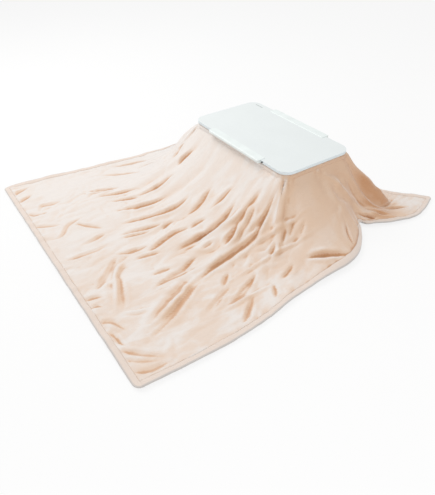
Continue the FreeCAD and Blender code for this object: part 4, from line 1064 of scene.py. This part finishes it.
def painted_pile_shade(drape, top, u, v):
    """Painted shade for the pile colour: how deep each point lies in a crease, and how much shade is painted
    where the cloth faces right or back and on the flap behind the right side.
    """
    high = top[..., 2]
    crease = sum(weight * np.clip((blurred(high, times, reach) - high - start) / (full - start), 0, 1)
                 for times, reach, start, full, weight in SHADED_HOLLOWS)
    crease = np.clip(crease, 0, 1) * ramp(drape.past_frame(top), 0.015, 0.06)
    up = unit(np.cross(np.gradient(top, axis=0), np.gradient(top, axis=1)))
    # The flap behind the right side gets more painted shade
    flap = ramp(v, 0.22, 0.42) * ramp(u, 0.40, 0.58) * ramp(u + v, 1.55, 1.15)
    against = SHADE_FACING_RIGHT * blurred(up[..., 0], 1) + SHADE_FACING_BACK * np.clip(up[..., 1], 0, 1)
    return crease, np.clip(against + FLAP_SHADE * flap, 0, 2)


def lay_quilt(drape):
    """The quilt inside its hem: a closed padded sheet with its folds, creases and wrinkles."""
    s = drape.s
    u, v = drape.grid(s.mesh_step, s.hem_width - 0.005, 2)
    middle, up = drape.read(u, v), drape.normal(u, v)
    loose = ramp(drape.seat - middle[..., 2], 0.002, 0.03)
    folds, squeeze = drape.creased(u, v)
    inside = drape.from_edge(u, v) - s.hem_width
    folds *= ramp(inside, -0.004, 0.024)
    middle = middle + up * (loose * (drape.wrinkles(u, v) + folds))[..., None]
    half = s.thickness / 2
    pinch = (1 - EDGE_PINCH * np.exp(-np.clip(inside, 0, None) / PINCH_REACH)) * half
    middle[..., 2] = np.maximum(middle[..., 2], pinch + MIDDLE_GAP)
    top = middle + up * (pinch * (1 - CREASE_SQUEEZE * loose * squeeze))[..., None]
    bottom = (middle - up * pinch[..., None])[::2, ::2]
    bottom[..., 2] = np.clip(bottom[..., 2], GAP, None)
    for sheet, height in ((top, drape.seat + half), (bottom, drape.seat - half)):
        between = (np.abs(sheet[..., 0]) < drape.a + 0.012) & (np.abs(sheet[..., 1]) < drape.b + 0.04)
        sheet[..., 2] = np.where(between, np.minimum(sheet[..., 2], height), sheet[..., 2])
    # Painted shade from creases and from how the cloth faces the key lamp, kept as attributes for the plush
    crease, against = painted_pile_shade(drape, top, u, v)
    piece = shell("futon_quilt", to_row(top), to_row(bottom))
    finish_piece(piece, plush("peach_plush", s), on_both(np.stack([u, v], -1), 2), crease=on_both(crease),
                 against=on_both(against))
    return piece


def lay_hem(drape):
    """The padded hem all round, folded over the quilt's edge."""
    s = drape.s
    place, outward = drape.hem_edge(HEM_PLACES)
    reached = run_along(*np.diff(place, axis=0).T)
    half = s.hem_height / 2
    puff = half * (0.86 + 0.28 * soft_noise(reached, 0 * reached, (0.045, 1), (3, 3), 21))
    rows, flats = [], []
    for out, high in HEM_SECTION:
        u, v = (place + outward * out * s.hem_width).T
        p, up = drape.read(u, v), drape.normal(u, v)
        pucker = np.clip(drape.wrinkles(u, v), *HEM_PUCKER) * (1 - 0.6 * out)
        lift = np.clip(half + GAP - p[:, 2], 0, None) * min(1.0, 0.4 + out * 3)
        p = p + up * (pucker + high * puff)[:, None]
        p[:, 2] = np.maximum(p[:, 2] + lift, HEM_GAP)
        rows.append(p)
        flats.append(np.stack([reached, np.full_like(reached, out * s.hem_width)], -1))
    index = np.arange(len(rows) * len(place)).reshape(len(rows), -1)
    next_row, next_place = np.roll(index, -1, 0), np.roll(index, -1, 1)
    faces = np.stack([index, next_row, np.roll(next_row, -1, 1), next_place], -1).reshape(-1, 4)
    piece = mesh_object("futon_edge", to_row(np.concatenate(rows)), faces)
    finish_piece(piece, hem_plush("hem_plush", s), np.concatenate(flats))
    return piece


def sew_stitches(drape):
    """A row of stitches along the hem's inner line, each a closed tube of four sides that thins at its ends."""
    s = drape.s
    place, outward = drape.hem_edge(1 / s.stitch_pitch)
    straight = np.abs(np.abs(outward).max(1) - 1) < 1e-6
    place, outward = place[straight], outward[straight]
    along = np.stack([-outward[:, 1], outward[:, 0]], -1)
    outside, proud, half_width, half_height, reach = 0.0012, 0.0040, 0.00075, 0.0009, 0.001
    points = []
    for end, size in STITCH:
        u, v = (place + outward * outside + along * (end * s.stitch_length)).T
        p, up = drape.read(u, v), drape.normal(u, v)
        side = unit(drape.read(u + outward[:, 0] * reach, v + outward[:, 1] * reach) - p)
        p[:, 2] = np.maximum(p[:, 2], s.thickness / 2 * 0.8)
        p = p + up * (np.clip(drape.wrinkles(u, v), *HEM_PUCKER) + proud)[:, None]
        for a, b in ((1, 0), (0, 1), (-1, 0), (0, -1)):
            points.append(p + side * (a * half_width * size) + up * (b * half_height * size))
    faces = [(3, 2, 1, 0), (12, 13, 14, 15)]
    for ring in (0, 4, 8):
        for a, b in ((0, 1), (1, 2), (2, 3), (3, 0)):
            faces.append((ring + a, ring + b, ring + b + 4, ring + a + 4))
    first = np.arange(len(place))[:, None, None] * len(points)
    piece = mesh_object("futon_stitches", to_row(np.stack(points, 1)), (first + np.array(faces)).reshape(-1, 4))
    finish_piece(piece, thread("thread", s.thread))
    return piece


class OBJECT_OT_lay_futon(Operator):
    """Drapes the quilt over the frame, then adds its padded hem and stitching"""

    bl_idname = "object.lay_futon"
    bl_label = "Lay Futon"

    def execute(self, context):
        s = context.scene.futon_settings
        drape = Drape(s)
        drape.settle()
        quilt, hem, stitches = lay_quilt(drape), lay_hem(drape), sew_stitches(drape)
        for piece in (quilt, hem, stitches):
            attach(piece, "cover")
        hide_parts("futon")
        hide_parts("futon_hem")
        return {"FINISHED"}


class OBJECT_OT_finish_board(Operator):
    """Gives the board, its edge, grips, stops and plate their finishes"""

    bl_idname = "object.finish_board"
    bl_label = "Finish Board"

    def execute(self, context):
        s = context.scene.board_settings
        dress({
            "white_laminate": (melamine, s.white),
            "fibre_board": (fibre_board, s.core),
            "grey_plate": (moulded, s.plate, 0.45),
            "dark_rubber": (moulded, s.stop, 0.7),
        })
        give(frame["nodes"]["board_edge_band"], edging("white_edging", s.white))
        grip = moulded("grip_plastic", s.grip, 0.42, 200, 0.00003)
        for node in ("grip_front", "grip_back"):
            give(frame["nodes"][node], grip)
        return {"FINISHED"}


class OBJECT_OT_finish_frame(Operator):
    """Gives the frame, folding brackets, legs and feet their finishes"""

    bl_idname = "object.finish_frame"
    bl_label = "Finish Frame and Legs"

    def execute(self, context):
        s = context.scene.fitting_settings
        dress({
            "pale_wood": (timber, s.wood),
            "leg_wood": (timber, s.leg_paint, 0.92),
            "corner_plastic": (moulded, s.plastic, 0.5),
            "bush_plastic": (moulded, s.nylon, 0.4),
            "foot_plastic": (moulded, s.foot, 0.6),
            "zinc_steel": (plated, s.zinc),
        })
        return {"FINISHED"}


class OBJECT_OT_finish_heater(Operator):
    """Gives the heater unit its finishes"""

    bl_idname = "object.finish_heater"
    bl_label = "Finish Heater"

    def execute(self, context):
        s = context.scene.heater_settings
        dress({
            "dish_steel": (galvanised, s.sheet),
            "guard_coating": (flocked, s.wire),
            "polished_reflector": (polished, s.reflector),
            "quartz": (clear_quartz,),
            "element_wire": (oxidised, s.element),
            "ceramic": (earthen, s.ceramic),
            "felt": (felted, s.felt),
            "gland_rubber": (moulded, s.rubber, 0.65),
            "thermostat_metal": (plated, s.thermostat),
            "lead_sleeve": (felted, s.sleeve, 1500),
        })
        return {"FINISHED"}


class OBJECT_OT_wind_elements(Operator):
    """Winds the heating wire round each element's core inside its quartz tube"""

    bl_idname = "object.wind_elements"
    bl_label = "Wind Heating Elements"

    def execute(self, context):
        s = context.scene.heater_settings
        core_low, core_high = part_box("heating_elements")
        from_axis = (core_high.z - core_low.z) / 2 + s.winding_wire
        for side in ("front", "back"):
            tube_low, tube_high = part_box("quartz_tube_" + side)
            middle = (tube_low + tube_high) / 2
            turns = round((tube_high.x - tube_low.x) * s.wound_share / s.winding_pitch)
            bpy.ops.object.select_all(action="DESELECT")
            bpy.ops.mesh.primitive_circle_add(vertices=6, radius=s.winding_wire, fill_type="NOTHING",
                                              location=(0, from_axis, 0), rotation=(0, math.pi / 2, 0))
            wire = context.object
            wire.name = wire.data.name = "element_winding_" + side
            bpy.ops.object.transform_apply(location=True, rotation=True, scale=True)
            screw = {"axis": "X", "screw_offset": s.winding_pitch, "iterations": turns, "steps": 10,
                     "render_steps": 10, "use_merge_vertices": True}
            set_all(wire.modifiers.new("Screw", "SCREW"), screw)
            bpy.ops.object.modifier_apply(modifier="Screw")
            bpy.ops.object.mode_set(mode="EDIT")
            bpy.ops.mesh.select_all(action="SELECT")
            bpy.ops.transform.translate(value=(middle.x - turns * s.winding_pitch / 2, middle.y, middle.z))
            bpy.ops.mesh.remove_doubles(threshold=1e-6)
            bpy.ops.mesh.select_all(action="DESELECT")
            bpy.ops.mesh.select_non_manifold()
            bpy.ops.mesh.fill_holes(sides=8)
            bpy.ops.mesh.select_all(action="SELECT")
            bpy.ops.mesh.normals_make_consistent(inside=False)
            bpy.ops.object.mode_set(mode="OBJECT")
            finish_piece(wire, bpy.data.materials["element_wire"])
            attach(wire, "frame")
        return {"FINISHED"}


def floor_material(s):
    """Pale floor that the camera, glossy and clear rays see mostly as plain white, with the object's shadow."""
    t = Tree("stage_floor")
    camera, glossy, clear = (t.node("ShaderNodeLightPath", out=ray)
                             for ray in ("Is Camera Ray", "Is Glossy Ray", "Is Transmission Ray"))
    direct = (camera + glossy + clear).clamp()
    matte = t.node("ShaderNodeBsdfDiffuse", None, t.tones(t.noise(t.place(), 2, 2), s.floor, 0.995, 1.0))
    white = t.node("ShaderNodeEmission", None, (1, 1, 1), 1.0)
    seen = t.node("ShaderNodeMixShader", None, direct * s.floor_white, matte, white)
    t.node("ShaderNodeOutputMaterial", None, seen)
    return t.owner


def studio_world(s):
    """Even light from all round. The camera sees it as plain white."""
    t = Tree("studio", "worlds")
    camera = t.node("ShaderNodeLightPath", out="Is Camera Ray")
    glow = t.node("ShaderNodeBackground", None, Strength=s.world)
    white = t.node("ShaderNodeBackground", None, (1, 1, 1), 1.0)
    t.node("ShaderNodeOutputWorld", None, t.node("ShaderNodeMixShader", None, camera, glow, white))
    return t.owner


def add_lamp(name, place, aim, size, power, tint=(1, 1, 1)):
    """A square lamp that faces the place it aims at."""
    bpy.ops.object.light_add(type="AREA", location=place)
    lamp = bpy.context.object
    lamp.name = name
    set_all(lamp.data, {"size": size, "energy": power, "color": tint})
    lamp.rotation_euler = (Vector(aim) - Vector(place)).to_track_quat("-Z", "Y").to_euler()


class SCENE_OT_set_stage(Operator):
    """Sets the pale floor, the soft lamps and the camera"""

    bl_idname = "scene.set_stage"
    bl_label = "Set Stage"

    def execute(self, context):
        scene = context.scene
        s = scene.stage_settings
        bpy.ops.object.select_all(action="DESELECT")
        bpy.ops.mesh.primitive_plane_add(size=60, location=(0, 0, 0))
        floor = context.object
        floor.name = floor.data.name = "stage_floor"
        floor.data.materials.append(floor_material(s))
        scene.world = studio_world(s)
        add_lamp("key_light", (-2.7, -0.9, 3.9), (0, 0, 0.1), 3.0, s.key, (1.0, 0.985, 0.965))
        add_lamp("fill_light", (3.4, -1.2, 2.4), (0, 0, 0.2), 3.0, s.fill)
        bpy.ops.object.camera_add(location=(s.place[0] + CENTRE.x, s.place[1] + CENTRE.y, s.place[2]))
        camera = context.object
        turn = Matrix.Rotation(s.yaw, 4, "Z") @ Matrix.Rotation(math.pi / 2 - s.pitch, 4, "X")
        camera.rotation_euler = (turn @ Matrix.Rotation(s.roll, 4, "Z")).to_euler()
        set_all(camera.data, {"lens": s.lens, "sensor_width": 36, "clip_end": 200})
        scene.camera = camera
        scene.view_settings.view_transform = "Standard"
        return {"FINISHED"}


OPERATORS = (OBJECT_OT_lay_futon, OBJECT_OT_finish_board, OBJECT_OT_finish_frame, OBJECT_OT_finish_heater,
             OBJECT_OT_wind_elements, SCENE_OT_set_stage)


class VIEW3D_PT_heated_table(Panel):
    bl_label = "Heated Table"
    bl_idname = "VIEW3D_PT_heated_table"
    bl_space_type = "VIEW_3D"
    bl_region_type = "UI"
    bl_category = "Heated Table"

    def draw(self, context):
        for operator in OPERATORS:
            self.layout.operator(operator.bl_idname)
        for name in SETTINGS:
            box = self.layout.box()
            settings = getattr(context.scene, name)
            for key in settings.bl_rna.properties.keys():
                if key not in ("rna_type", "name"):
                    box.prop(settings, key)


SETTINGS = {"futon_settings": FutonSettings, "board_settings": BoardSettings,
            "fitting_settings": FittingSettings, "heater_settings": HeaterSettings,
            "stage_settings": StageSettings}
CLASSES = (*SETTINGS.values(), *OPERATORS, VIEW3D_PT_heated_table)


def register():
    for made in CLASSES:
        bpy.utils.register_class(made)
    for name, kind in SETTINGS.items():
        setattr(bpy.types.Scene, name, PointerProperty(type=kind))


def unregister():
    for name in SETTINGS:
        delattr(bpy.types.Scene, name)
    for made in reversed(CLASSES):
        bpy.utils.unregister_class(made)


def main():
    register()
    bpy.ops.object.finish_board()
    bpy.ops.object.finish_frame()
    bpy.ops.object.finish_heater()
    bpy.ops.object.wind_elements()
    bpy.ops.object.lay_futon()
    bpy.ops.scene.set_stage()


if __name__ == "__main__":
    main()
